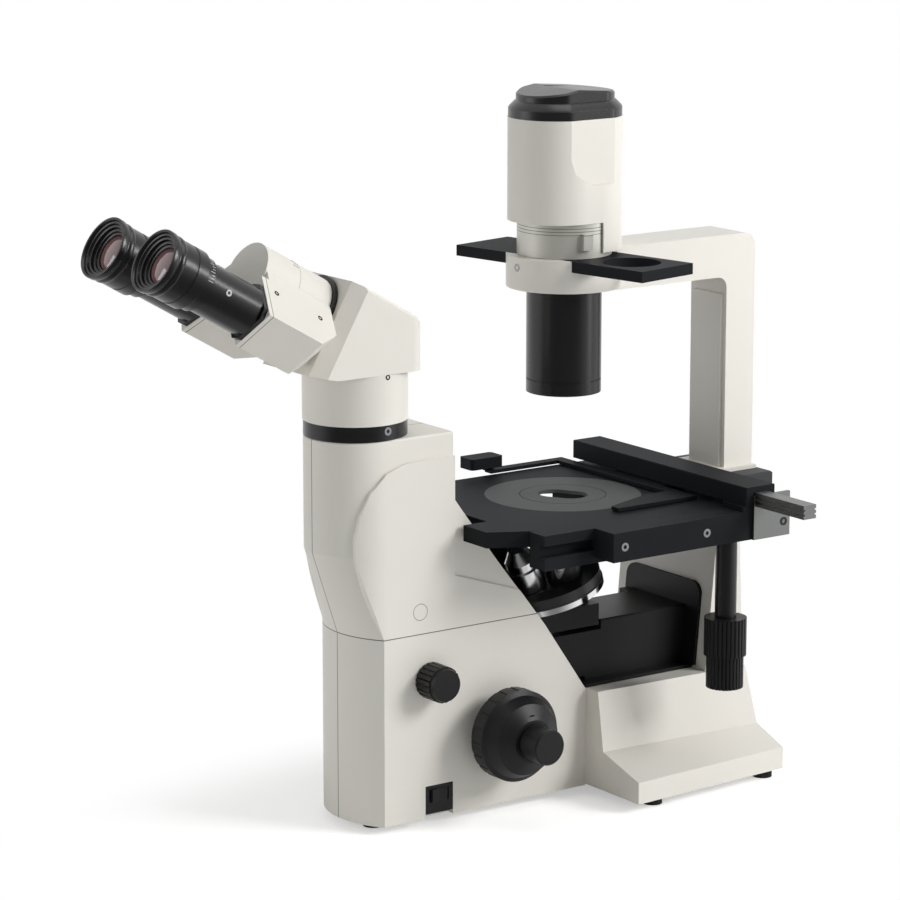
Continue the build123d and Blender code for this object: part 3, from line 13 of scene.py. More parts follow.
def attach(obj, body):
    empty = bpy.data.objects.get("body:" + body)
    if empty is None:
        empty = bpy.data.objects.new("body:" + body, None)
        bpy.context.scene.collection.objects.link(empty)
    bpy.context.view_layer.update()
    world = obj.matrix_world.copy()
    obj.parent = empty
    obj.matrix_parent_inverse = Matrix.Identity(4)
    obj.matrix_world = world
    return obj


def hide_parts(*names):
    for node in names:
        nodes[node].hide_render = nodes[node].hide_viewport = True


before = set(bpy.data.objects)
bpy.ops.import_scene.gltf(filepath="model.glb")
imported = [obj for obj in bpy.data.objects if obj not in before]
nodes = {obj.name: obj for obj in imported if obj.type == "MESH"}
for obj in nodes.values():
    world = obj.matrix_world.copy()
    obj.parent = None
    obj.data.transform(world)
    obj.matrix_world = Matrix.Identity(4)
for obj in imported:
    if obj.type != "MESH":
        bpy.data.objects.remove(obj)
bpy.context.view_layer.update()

# %% [markdown]
# Places are easiest to think of from the optical axis, in millimetres, as on the real
# instrument's drawing. The frame's own origin lies under the middle of the whole outline.

# %% Places from the optical axis
MM = 0.001
AXIS_X = -35.5
AXIS_Y = 100.9066


def at(x, y, z):
    """A place given in millimetres from the optical axis, in the frame's metres."""
    return Vector(((x + AXIS_X) * MM, (y + AXIS_Y) * MM, z * MM))


# %% [markdown]
# The eyepieces look along the tilted sight line. Each eyetube hangs on a hinge arm, so its
# place follows from the droop of the arm below the hinge.

# %% Sight line of the head
TILT = math.radians(30)
ARM = 42.0
HALF_IPD = 32.0
DROP = math.sqrt(ARM**2 - HALF_IPD**2)
SIGHT = Vector((0, -math.cos(TILT), math.sin(TILT)))
HINGE_Y = -202.6
HINGE_Z = 357.5


def on_eyeline(along, across, up):
    """A place along the sight line, across to the right and up from the hinge."""
    y = HINGE_Y - along * math.cos(TILT) + up * math.sin(TILT)
    z = HINGE_Z + along * math.sin(TILT) + up * math.cos(TILT)
    return at(across, y, z)


# %% [markdown]
# The photograph was taken with a long lens from the operator's right, a little above the
# stage. A long focal length keeps the uprights parallel, so the camera stands 2.6 m away.

# %% Camera
camera_data = bpy.data.cameras.new("camera")
camera_data.sensor_width = 36.0
camera_data.lens = 149.41
camera = bpy.data.objects.new("camera", camera_data)
bpy.context.scene.collection.objects.link(camera)
camera.location = at(2042.3, -1542.5, 783.9)
aim = at(-45.7, -64.6, 239.7) - camera.location
camera.rotation_euler = aim.to_track_quat("-Z", "Y").to_euler()
bpy.context.scene.camera = camera
print("camera at", camera.location)

# %% [markdown]
# A finish is a small program of nodes. Writing it as arithmetic keeps it short: a value
# wraps a node's socket, and each sum or product of values adds one Math node.


# %% Values in a finish
class Value:
    """One output socket; arithmetic on it adds Math nodes."""

    def __init__(self, finish, socket):
        self.finish = finish
        self.socket = socket

    def math(self, operation, first, second):
        return self.finish.add("ShaderNodeMath", {"operation": operation}, {0: first, 1: second})

    def __add__(self, other):
        return self.math("ADD", self, other)

    __radd__ = __add__

    def __mul__(self, other):
        return self.math("MULTIPLY", self, other)

    __rmul__ = __mul__

    def __sub__(self, other):
        return self.math("SUBTRACT", self, other)

    def __rsub__(self, other):
        return self.math("SUBTRACT", other, self)

    def __truediv__(self, other):
        return self.math("DIVIDE", self, other)


class Finish:
    """A material that is being written."""

    def __init__(self, name):
        self.material = bpy.data.materials.new(name)
        self.material.use_nodes = True
        self.tree = self.material.node_tree
        self.tree.nodes.clear()
        self.place = self.add("ShaderNodeTexCoord", {}, {}, "Object")

    def add(self, kind, settings, inputs, output=0):
        """Any node: its settings first, then the values or links of its sockets."""
        node = self.tree.nodes.new(kind)
        for name, setting in settings.items():
            if name == "stops":
                ramp = node.color_ramp
                ramp.elements[0].position, ramp.elements[0].color = setting[0]
                ramp.elements[1].position, ramp.elements[1].color = setting[-1]
                for stop, color in setting[1:-1]:
                    ramp.elements.new(stop).color = color
            else:
                setattr(node, name, setting)
        for name, value in inputs.items():
            if isinstance(value, Value):
                self.tree.links.new(value.socket, node.inputs[name])
            else:
                node.inputs[name].default_value = value
        return Value(self, node.outputs[output]) if len(node.outputs) else node

    def noise(self, scale, detail=3.0, stretch=(1, 1, 1), distortion=0.0):
        """Grain of a given number of lumps per metre."""
        place = self.add("ShaderNodeMapping", {}, {"Vector": self.place, "Scale": stretch})
        inputs = {"Vector": place, "Scale": scale, "Detail": detail, "Distortion": distortion}
        return self.add("ShaderNodeTexNoise", {}, inputs, 0)

    def blend(self, mask, first, second):
        """Mix of two colours by a mask."""
        inputs = {0: mask, 6: first, 7: second}
        return self.add("ShaderNodeMix", {"data_type": "RGBA"}, inputs, 2)

    def along(self, place, direction):
        """How far a place lies along a fixed direction."""
        return self.add("ShaderNodeVectorMath", {"operation": "DOT_PRODUCT"}, {0: place, 1: direction}, 1)

    def bump(self, height, distance, strength=1.0):
        """Surface relief from a height value."""
        inputs = {"Height": height, "Distance": distance, "Strength": strength}
        return self.add("ShaderNodeBump", {}, inputs)

    def surface(self, inputs):
        """Ends the finish with one principled surface."""
        shader = self.add("ShaderNodeBsdfPrincipled", {}, inputs)
        self.add("ShaderNodeOutputMaterial", {}, {"Surface": shader})
        return self.material


def rgb(red, green, blue):
    """A colour as a socket wants it."""
    return (red, green, blue, 1.0)


# %% [markdown]
# The housings are moulded or painted in one warm cream. Up close such a surface has a fine
# spark-eroded or orange-peel texture and a slightly uneven sheen, and hardly any colour
# change, so the noise moves the roughness and the bump more than the colour.


# %% Cream finishes
CREAM = (0.80, 0.775, 0.715)
SEAM_COLOR = (0.10, 0.095, 0.085)
WAIST_Z = 137.0
PLUG_Y, PLUG_Z, PLUG_RADIUS = -148.0, 152.5, 5.5
COVER_ALONG = 67.9


def closeness(finish, value, middle, reach):
    """1 where a value is near a middle, and 0 further off than a reach."""
    off = finish.add("ShaderNodeMath", {"operation": "ABSOLUTE"}, {0: value - middle})
    inputs = {"Value": off, "From Min": reach, "From Max": reach * 0.55}
    return finish.add("ShaderNodeMapRange", {}, inputs)


def shell_seams(finish):
    """Dark joint lines: round the waist of the stand, down its nose, and round the plug."""
    x, y, z = (finish.add("ShaderNodeSeparateXYZ", {}, {"Vector": finish.place}, part) for part in range(3))
    waist = closeness(finish, z, WAIST_Z * MM, 0.40 * MM)
    centre = closeness(finish, x, AXIS_X * MM, 0.40 * MM)
    across, up = y - at(0, PLUG_Y, 0).y, z - PLUG_Z * MM
    reach = finish.add("ShaderNodeMath", {"operation": "SQRT"}, {0: across * across + up * up})
    plug = closeness(finish, reach, PLUG_RADIUS * MM, 0.45 * MM)
    outside = finish.add("ShaderNodeMath", {"operation": "GREATER_THAN"}, {0: x, 1: AXIS_X * MM})
    lines = finish.add("ShaderNodeMath", {"operation": "MAXIMUM"}, {0: waist, 1: centre})
    return finish.add("ShaderNodeMath", {"operation": "MAXIMUM"}, {0: lines, 1: plug * outside})


def cover_seams(finish):
    """The joint line of the cover plate that carries the eyetube."""
    along = finish.along(finish.place, SIGHT)
    hinge = at(0, HINGE_Y, HINGE_Z).dot(SIGHT)
    return closeness(finish, along, hinge + COVER_ALONG * MM, 0.32 * MM)


def cream_finish(name, color, grain, relief, gloss, seams=None):
    finish = Finish(name)
    cloud = finish.noise(9.0, 4.0)
    fine = finish.noise(grain, 2.0)
    shade = finish.blend(cloud, rgb(*color), rgb(*(c * 0.965 for c in color)))
    if seams:
        shade = finish.blend(seams(finish), shade, rgb(*SEAM_COLOR))
    return finish.surface(
        {
            "Base Color": shade,
            "Roughness": fine * 0.10 + (gloss + cloud * 0.06),
            "Normal": finish.bump(fine, relief),
            "Specular IOR Level": 0.30,
        }
    )


moulded_cream = cream_finish("moulded_cream", CREAM, 1500.0, 0.00006, 0.38)
prism_cream = cream_finish("prism_cream", CREAM, 1500.0, 0.00006, 0.38, cover_seams)
shell_cream = cream_finish("shell_cream", CREAM, 1500.0, 0.00006, 0.38, shell_seams)
painted_cream = cream_finish("painted_cream", CREAM, 700.0, 0.00004, 0.30)
print("cream finishes made")

# %% [markdown]
# The blacks differ by how they were made: a semi-matt coat on the machined stage, a smooth
# satin on tubes and eyepieces, a duller moulded plastic on knobs, and soft rubber feet.


# %% Black finishes
def black_finish(name, color, grain, relief, gloss, shine=0.16):
    finish = Finish(name)
    cloud = finish.noise(14.0, 4.0)
    fine = finish.noise(grain, 2.0)
    shade = finish.blend(cloud, rgb(*color), rgb(*(c * 1.35 + 0.002 for c in color)))
    return finish.surface(
        {
            "Base Color": shade,
            "Roughness": fine * 0.10 + (gloss + cloud * 0.08),
            "Normal": finish.bump(fine, relief),
            "Specular IOR Level": shine,
        }
    )


stage_black = black_finish("stage_black", (0.010, 0.011, 0.013), 1800.0, 0.00005, 0.46, 0.06)
tube_black = black_finish("tube_black", (0.006, 0.006, 0.007), 2500.0, 0.00002, 0.16, 0.40)
knob_black = black_finish("knob_black", (0.008, 0.008, 0.009), 1600.0, 0.00006, 0.30, 0.26)
cap_black = black_finish("cap_black", (0.006, 0.006, 0.007), 1400.0, 0.00003, 0.20, 0.50)
inner_black = black_finish("inner_black", (0.007, 0.007, 0.008), 900.0, 0.00005, 0.32, 0.18)
rubber_black = black_finish("rubber_black", (0.02, 0.02, 0.02), 1200.0, 0.00008, 0.75)
dark_grey = black_finish("dark_grey", (0.045, 0.047, 0.050), 1500.0, 0.00005, 0.40, 0.10)
insert_grey = black_finish("insert_grey", (0.080, 0.084, 0.084), 2000.0, 0.00004, 0.45, 0.08)
print("black finishes made")

# %% [markdown]
# Bare metal shows how it was worked: a turned ring has streaks round its axis, a drawn bar
# has streaks along it. Stretching the noise along the tool's path gives those streaks.


# %% Metal finishes
def metal_finish(name, color, stretch, gloss, relief):
    finish = Finish(name)
    streak = finish.noise(60.0, 5.0, stretch)
    cloud = finish.noise(20.0, 3.0)
    shade = finish.blend(cloud, rgb(*color), rgb(*(c * 0.86 for c in color)))
    return finish.surface(
        {
            "Base Color": shade,
            "Metallic": 1.0,
            "Roughness": streak * 0.12 + gloss,
            "Normal": finish.bump(streak, relief),
        }
    )


chrome = metal_finish("chrome", (0.78, 0.78, 0.79), (1, 1, 30), 0.06, 0.00001)
drawn_steel = metal_finish("drawn_steel", (0.52, 0.52, 0.53), (1, 40, 40), 0.24, 0.00003)
satin_aluminium = metal_finish("satin_aluminium", (0.76, 0.76, 0.75), (1, 40, 1), 0.32, 0.00003)
dull_steel = metal_finish("dull_steel", (0.30, 0.30, 0.31), (20, 20, 1), 0.40, 0.00003)
grey_steel = metal_finish("grey_steel", (0.22, 0.225, 0.22), (1, 40, 1), 0.36, 0.00003)


GROOVE_SHADE_HEIGHTS = (400.6, 398.4, 396.2)


def ring_finish():
    """A painted metal ring with painted shade for three fine turned grooves near its top."""
    finish = Finish("ring_satin")
    grain = finish.noise(60.0, 4.0, (1, 1, 30))
    z = finish.add("ShaderNodeSeparateXYZ", {}, {"Vector": finish.place}, 2)
    first, second, third = (closeness(finish, z, height * MM, 0.30 * MM) for height in GROOVE_SHADE_HEIGHTS)
    lines = first + second + third
    shade = finish.blend(grain, rgb(0.60, 0.59, 0.54), rgb(0.55, 0.54, 0.49))
    # The three dark lines are painted shade where fine turned grooves would be.
    shade = finish.blend(lines, shade, rgb(0.16, 0.16, 0.15))
    return finish.surface({"Base Color": shade, "Metallic": 0.35, "Roughness": grain * 0.12 + 0.32})


ring_satin = ring_finish()
print("metal finishes made")

# %% [markdown]
# An eyepiece lens looks dark with a warm reddish sheen, because its coating reflects red and
# lets the rest in. A dark, very smooth dielectric under a clear coat stays a plain surface that
# is cheap to render, and its sheen is a painted reflection: the base colour turns paler and
# warmer towards grazing angles.


# %% Glass finishes
def coated_glass(name, deep, painted_sheen, gloss):
    finish = Finish(name)
    facing = finish.add("ShaderNodeLayerWeight", {}, {"Blend": 0.45}, 1)
    haze = finish.noise(90.0, 3.0)
    # Painted reflection: the base colour turns from the deep colour to the sheen colour at grazing angles.
    shade = finish.blend(facing, rgb(*deep), rgb(*painted_sheen))
    return finish.surface(
        {
            "Base Color": shade,
            "Roughness": haze * 0.03 + gloss,
            "Coat Weight": 1.0,
            "Coat Roughness": 0.02,
            "Coat IOR": 1.45,
        }
    )


# The second colour of each glass is its painted sheen, shown at grazing angles.
eye_glass = coated_glass("eye_glass", (0.085, 0.038, 0.040), (0.42, 0.22, 0.22), 0.05)
bulb_glass = coated_glass("bulb_glass", (0.75, 0.74, 0.70), (0.9, 0.9, 0.88), 0.08)
print("glass finishes made")

# %% [markdown]
# Each node of the model keeps its shape and takes the finish of the real piece. The table
# goes by finish, as a parts list does.

# %% Finishes on the pieces
finish_table = (
    (shell_cream, "upper_shell_right upper_shell_left lower_shell_right lower_shell_left"),
    (prism_cream, "prism_box_right prism_box_left"),
    (moulded_cream, "lamp_house hole_plug"),
    (painted_cream, "base_casting rear_column pillar_arm head_housing"),
    (stage_black, "stage_plate y_rail y_carriage x_channel specimen_holder spring_clip"),
    (stage_black, "filter_slider support_plate"),
    (inner_black, "window_cover light_path_box floor_plate mirror_box focus_carriage"),
    (inner_black, "mirror_block relay_tube imaging_tube nosepiece_mount nosepiece_plug"),
    (tube_black, "clamp_ring condenser_tube drive_sleeve eyetube_right eyetube_left"),
    (tube_black, "eyepiece_right eyepiece_left dioptre_ring_right dioptre_ring_left"),
    (knob_black, "coarse_knobs fine_knobs brightness_knob y_drive_knob x_drive_knob"),
    (knob_black, "power_rocker switch_housing lamp_cap"),
    (dark_grey, "pillar_base_block"),
    (rubber_black, "feet"),
    (insert_grey, "stage_insert"),
    (chrome, "turret objectives"),
    (satin_aluminium, "focus_guide"),
    (grey_steel, "end_plate rack_bar"),
    (drawn_steel, "coarse_shaft"),
    (ring_satin, "field_ring"),
    (bulb_glass, "lamp_bulb"),
    (dull_steel, "power_supply"),
)


def paint(thing, finish):
    """Gives an object one finish."""
    thing.data.materials.clear()
    thing.data.materials.append(finish)


painted = 0
for finish, names in finish_table:
    for name in names.split():
        paint(nodes[name], finish)
        painted += 1
print("painted", painted, "of", len(nodes))

# %% [markdown]
# Nothing real has a perfectly sharp edge, and a small round on each edge is what catches the
# light. A bevel modifier rounds the edges without touching the mesh, and smooth shading with
# sharp edges kept makes the curved faces even.

# %% Rounded edges
SHARP = math.radians(28)
PLAIN_ROUND = 0.35
edge_round = {
    "upper_shell_right": 0.8,
    "upper_shell_left": 0.8,
    "lower_shell_right": 0.8,
    "lower_shell_left": 0.8,
    "base_casting": 1.0,
    "rear_column": 1.0,
    "pillar_arm": 1.2,
    "head_housing": 1.2,
    "lamp_house": 0.8,
    "prism_box_right": 0.9,
    "prism_box_left": 0.9,
    "feet": 0.8,
}


def soften(thing, width):
    """Smooth shading and a small round on the edges of one object."""
    thing.data.shade_smooth()
    thing.data.set_sharp_from_angle(angle=SHARP)
    bevel = thing.modifiers.new("edge_round", "BEVEL")
    bevel.width = width * MM
    bevel.segments = 2
    bevel.limit_method = "ANGLE"
    bevel.angle_limit = math.radians(32)
    bevel.harden_normals = True


for name, node in nodes.items():
    soften(node, edge_round.get(name, PLAIN_ROUND))
print("edges rounded on", len(nodes))

# %% [markdown]
# Lenses, screws and rings are turned parts. Spinning a half outline round an axis makes each
# of them, just as a lathe does, so one helper is enough for all.


# %% Turned pieces
def new_piece(name, work):
    """Ends the work on a mesh and puts it in the scene as an object."""
    mesh = bpy.data.meshes.new(name)
    work.to_mesh(mesh)
    work.free()
    piece = bpy.data.objects.new(name, mesh)
    bpy.context.scene.collection.objects.link(piece)
    return piece


def point_along(piece, place, aim):
    """Stands a piece at a place, with its own Z along an aim."""
    turn = Vector(aim).normalized().to_track_quat("Z", "Y").to_matrix().to_4x4()
    piece.matrix_world = Matrix.Translation(place) @ turn


def wall(work, low, high):
    """Faces between two rings that have as many points."""
    for step in range(len(low)):
        after = (step + 1) % len(low)
        work.faces.new([low[step], low[after], high[after], high[step]])


def turned(name, outline, place, aim, finish, body, steps=48):
    """A piece turned round an axis: outline is (radius, height) in millimetres."""
    work = bmesh.new()
    verts = [work.verts.new((radius * MM, 0, height * MM)) for radius, height in outline]
    edges = [work.edges.new(pair) for pair in zip(verts, verts[1:])]
    whole = {"cent": (0, 0, 0), "axis": (0, 0, 1), "angle": math.tau, "steps": steps, "use_merge": True}
    bmesh.ops.spin(work, geom=verts + edges, **whole)
    bmesh.ops.remove_doubles(work, verts=work.verts, dist=0.000002)
    bmesh.ops.dissolve_degenerate(work, edges=work.edges, dist=0.000001)
    bmesh.ops.recalc_face_normals(work, faces=work.faces)
    piece = new_piece(name, work)
    point_along(piece, place, aim)
    paint(piece, finish)
    piece.data.shade_smooth()
    piece.data.set_sharp_from_angle(angle=SHARP)
    bpy.context.view_layer.update()
    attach(piece, body)
    return piece


# %% [markdown]
# Each eyepiece has a rubber cup with a thin lip, a deep stepped well with the coated eye lens
# at its floor, and a barrel with one grip groove. The whole outline is one turned piece.

# %% Eyepieces and eye lenses
SEAT_ALONG = 123.0
EYE_LENS_ALONG = 144.0
barrel = [
    (0, 0.1), (18.0, 0), (20.1, 0), (20.5, 0.5),
    (20.5, 8.6), (19.9, 9.1), (19.9, 10.3), (20.5, 10.8),
]
shoulder = [
    (20.5, 19.6), (20.9, 20.2), (21.2, 21.6), (20.9, 23.0),
    (20.2, 23.9), (20.2, 24.5), (21.3, 25.4),
]
lip = [
    (21.7, 26.6), (21.7, 29.7), (21.5, 30.2), (21.2, 30.3),
    (20.1, 30.2), (19.6, 29.6), (19.3, 28.2),
]
well = [
    (18.2, 27.9), (17.6, 26.4), (16.3, 26.1), (15.8, 24.2), (14.4, 23.9),
    (14.0, 22.6), (12.6, 22.3), (12.4, 20.9), (0, 20.9),
]
lens = [(0, 3.0), (4, 2.85), (8, 2.3), (11, 1.4), (12.3, 0.2), (12.3, 0.0), (0, 0.0)]
for side, hand in (("right", 1), ("left", -1)):
    wing = "wing_" + side
    seat = on_eyeline(SEAT_ALONG, HALF_IPD * hand, -DROP)
    outline = barrel + shoulder + lip + well
    cup = turned("eyepiece_turned_" + side, outline, seat, SIGHT, tube_black, wing, 96)
    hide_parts("eyepiece_" + side)
    middle = on_eyeline(EYE_LENS_ALONG, HALF_IPD * hand, -DROP)
    turned("eye_lens_" + side, lens, middle, SIGHT, eye_glass, wing)
print("eyepieces and eye lenses made")

# %% [markdown]
# Behind each coarse knob its hub reaches in to the wall of the stand, so the bare shaft
# doesn't show. Both hubs turn with the knobs.

# %% Hubs of the coarse knobs
KNOB_Y, KNOB_Z = -84, 61
HUB_X = 38.2
hub = [
    (5.3, 0.0), (14.2, 0.0), (15.0, 0.8), (15.0, 9.0),
    (17.0, 11.0), (17.0, 12.7), (5.3, 12.7), (5.3, 0.0),
]
for side, hand in (("right", 1), ("left", -1)):
    place = at(HUB_X * hand, KNOB_Y, KNOB_Z)
    turned("coarse_hub_" + side, hub, place, (hand, 0, 0), knob_black, "coarse_focus", 64)
print("hubs made")

# %% [markdown]
# The photograph doesn't show the back of the neck, and the shells are open there above the
# stage. A real stand is closed, so a plain cover is set a little inside the shells.

# %% Cover of the neck
NECK_Y = -120.3
NECK_THICK = 1.5
NECK_HALF = 31.6
NECK_LOW_Z = 206.0
NECK_HIGH_Z = 269.8
work = bmesh.new()
front, back = [], []
for x, z in (
    (-NECK_HALF, NECK_LOW_Z),
    (NECK_HALF, NECK_LOW_Z),
    (NECK_HALF, NECK_HIGH_Z),
    (-NECK_HALF, NECK_HIGH_Z),
):
    front.append(work.verts.new(at(x, NECK_Y - NECK_THICK, z)))
    back.append(work.verts.new(at(x, NECK_Y, z)))
work.faces.new(front)
work.faces.new(back)
wall(work, front, back)
bmesh.ops.recalc_face_normals(work, faces=work.faces)
cover = new_piece("neck_cover", work)
paint(cover, moulded_cream)
soften(cover, 0.5)
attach(cover, "stand")
print("neck cover made")

# %% [markdown]
# The lamp's cap has two tiers with the same flats as the lamp house, and a top that rises to a
# low ridge. Rings of points at rising heights, each a shrunken copy of the plan, make it.


# %% Cap of the lamp
LAMP_RADIUS = 34.0
LAMP_FLAT = 32.0
LAMP_OFFSET = 7.0
LAMP_TOP_Z = 475.0
RIDGE_Y, RIDGE_HEIGHT = -8, 20.0


def cap_plan(inset, count=96):
    """Points round the plan of the cap: two half circles, cut by the flats at both sides."""
    radius, flat = LAMP_RADIUS - inset, LAMP_FLAT - inset
    points = []
    for step in range(count):
        angle = math.tau * (step + 0.5) / count
        x, y = radius * math.cos(angle), radius * math.sin(angle)
        points.append((max(-flat, min(flat, x)), y + math.copysign(LAMP_OFFSET, y)))
    return points


def ridge(y):
    """Height of the cap's top above the lamp house at a place along Y."""
    if y < RIDGE_Y:
        return 15.8 + 4.2 * (y + 34) / 26
    return RIDGE_HEIGHT - 3.4 * (y - RIDGE_Y) / 42


work = bmesh.new()
tiers = (
    (0.3, 0.0), (0.3, 6.0), (1.0, 7.2), (4.6, 10.8),
    (5.6, 11.4), (5.6, None), (6.8, None), (20.0, None),
)
drops = {5: 1.2, 6: 0.0, 7: 0.0}
rings = []
for number, (inset, height) in enumerate(tiers):
    ring = []
    for x, y in cap_plan(inset):
        lift = height if height is not None else ridge(y) - drops[number]
        ring.append(work.verts.new((x * MM, y * MM, lift * MM)))
    rings.append(ring)
for low, high in zip(rings, rings[1:]):
    wall(work, low, high)
work.faces.new(rings[0])
bmesh.ops.triangle_fill(work, edges=[e for e in work.edges if e.is_boundary], use_beauty=True)
bmesh.ops.recalc_face_normals(work, faces=work.faces)
cap = new_piece("lamp_cap_dressed", work)
cap.data.shade_smooth()
cap.data.set_sharp_from_angle(angle=math.radians(24))
cap.location = at(0, 0, LAMP_TOP_Z)
paint(cap, cap_black)
bpy.context.view_layer.update()
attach(cap, "stand")
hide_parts("lamp_cap")
print("cap made")

# %% [markdown]
# The small screws are socket-head set screws, so a dark hexagon in a turned head is enough.

# %% Small screws
RIM_POINTS = 24
HEX_POINTS = 6
HEAD_HEIGHT = 0.25
SOCKET_DEPTH = -0.9


def circle_points(work, radius, count, height):
    """Points round a circle, in millimetres."""
    points = []
    for step in range(count):
        angle = math.tau * step / count
        place = (radius * MM * math.cos(angle), radius * MM * math.sin(angle), height * MM)
        points.append(work.verts.new(place))
    return points


def screw(name, place, aim, radius, finish, body):
    """A set screw seen end on, with a hexagon socket."""
    work = bmesh.new()
    outer = circle_points(work, radius, RIM_POINTS, HEAD_HEIGHT)
    inner = circle_points(work, radius * 0.52, HEX_POINTS, HEAD_HEIGHT)
    sunk = circle_points(work, radius * 0.52, HEX_POINTS, SOCKET_DEPTH)
    low = circle_points(work, radius, RIM_POINTS, SOCKET_DEPTH)
    share = RIM_POINTS // HEX_POINTS
    for step in range(HEX_POINTS):
        after = (step + 1) % HEX_POINTS
        fan = [outer[(step * share + k) % RIM_POINTS] for k in range(share + 1)]
        work.faces.new([inner[step], *fan, inner[after]])
        work.faces.new([inner[step], inner[after], sunk[after], sunk[step]])
    for step in range(RIM_POINTS):
        after = (step + 1) % RIM_POINTS
        work.faces.new([outer[step], low[step], low[after], outer[after]])
    work.faces.new(sunk)
    work.faces.new(low)
    bmesh.ops.recalc_face_normals(work, faces=work.faces)
    piece = new_piece(name, work)
    point_along(piece, place, aim)
    paint(piece, finish)
    bpy.context.view_layer.update()
    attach(piece, body)
    return piece


set_screws = (
    ("clamp_screw", (35.1, -172.3, 279.6), (0.997, 0.071, 0), 2.8, dull_steel, "stand"),
    ("tube_screw", (35.5, -172.5, 316.3), (0.996, 0.093, 0), 1.9, tube_black, "head"),
    ("carrier_screw", (-0.1, -40.4, 372.6), (0, -1, 0), 2.8, dull_steel, "stand"),
    ("carriage_screw_front", (118.05, -36.4, 198.0), (1, 0, 0), 3.0, dull_steel, "y_stage"),
    ("carriage_screw_middle", (118.05, 34.4, 198.0), (1, 0, 0), 3.0, dull_steel, "y_stage"),
    ("end_plate_screw", (120.55, 100.5, 198.0), (1, 0, 0), 3.0, tube_black, "y_stage"),
)
for name, place, aim, radius, finish, body in set_screws:
    screw(name, at(*place), aim, radius, finish, body)
for side, hand in (("right", 1), ("left", -1)):
    wing = "wing_" + side
    for number, place in enumerate(((34.8, -258.6, 380.9), (35.2, -225.5, 361.3))):
        place, aim = at(place[0] * hand, *place[1:]), (0.648 * hand, 0.381, 0.66)
        screw("cover_screw_%s_%d" % (side, number), place, aim, 1.9, tube_black, wing)
    place, aim = at(48.8 * hand, -303.6, 387.5), (0.986 * hand, 0.084, 0.146)
    screw("eyetube_screw_" + side, place, aim, 2.2, dull_steel, wing)
print("screws made")

# %% [markdown]
# The ring between the tilted housing and the prism boxes is black, while the housing is
# painted. It gets its own turned piece over the housing's painted collar.

# %% Hinge trim ring
trim = [(20.0, -0.3), (23.7, -0.3), (23.7, 2.75), (20.0, 2.75), (20.0, -0.3)]
TRIM_ALONG = 6.1
turned("hinge_trim", trim, on_eyeline(TRIM_ALONG, 0, 0), SIGHT, tube_black, "head", 96)
print("hinge trim made")

# %% [markdown]
# The turret is one turned piece with two finishes: a polished grip ring below and a dark
# anodised dome above. The height along its tilted axis tells them apart, so one material
# with a mask follows the ring wherever it turns.


# %% Turret finish
LEAN = math.radians(15)
APEX = at(0, 0, 75)
BRIGHT_TURN = math.radians(144)


def turret_finish():
    """Chrome up to the grip ring's edge, and dark above it."""
    finish = Finish("turret_two_tone")
    aim = Vector((0, -math.sin(LEAN), math.cos(LEAN)))
    along, edge = finish.along(finish.place, aim), APEX.dot(aim)
    inputs = {"Value": along, "From Min": edge + 0.07085, "From Max": edge + 0.07115}
    dark = finish.add("ShaderNodeMapRange", {}, inputs)
    fine = finish.noise(1500.0, 2.0)
    return finish.surface(
        {
            "Base Color": finish.blend(dark, rgb(0.80, 0.80, 0.81), rgb(0.018, 0.018, 0.020)),
            "Metallic": 1 - dark,
            "Roughness": dark * 0.26 + (fine * 0.05 + 0.07),
        }
    )


def objective_finish():
    """Chrome on the objective that stands to the front right, and black on the others."""
    finish = Finish("objective_two_tone")
    out = math.cos(BRIGHT_TURN)
    toward = Vector((math.sin(BRIGHT_TURN), out * math.cos(LEAN), out * math.sin(LEAN)))
    along, middle = finish.along(finish.place, toward), APEX.dot(toward)
    inputs = {"Value": along, "From Min": middle + 0.0195, "From Max": middle + 0.0200}
    bright = finish.add("ShaderNodeMapRange", {}, inputs)
    streak = finish.noise(500.0, 3.0)
    return finish.surface(
        {
            "Base Color": finish.blend(bright, rgb(0.010, 0.010, 0.011), rgb(0.72, 0.72, 0.73)),
            "Metallic": bright,
            "Roughness": streak * 0.08 + (0.26 - bright * 0.10),
            "Specular IOR Level": 0.3,
        }
    )


paint(nodes["turret"], turret_finish())
paint(nodes["objectives"], objective_finish())
print("turret and objective finishes made")

# %% [markdown]
# The only marks are short plain strokes: dark ones for the eye spacing on the right drum of
# the head, and white ones round each dioptre ring. A bump would be lost in the exported mesh,
# so each stroke is a thin raised bar of paint.


# %% Scale strokes
def stroke(name, start, end, width, lift, normal, finish, body):
    """A thin bar of paint between two places on a surface."""
    work = bmesh.new()
    along = (end - start).normalized()
    up = Vector(normal).normalized()
    across = along.cross(up) * width * MM / 2
    rise = up * lift * MM
    corners = [start - across, start + across, end + across, end - across]
    low = [work.verts.new(c - rise) for c in corners]
    high = [work.verts.new(c + rise) for c in corners]
    work.faces.new(low)
    work.faces.new(high)
    wall(work, low, high)
    bmesh.ops.recalc_face_normals(work, faces=work.faces)
    piece = new_piece(name, work)
    paint(piece, finish)
    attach(piece, body)
    return piece


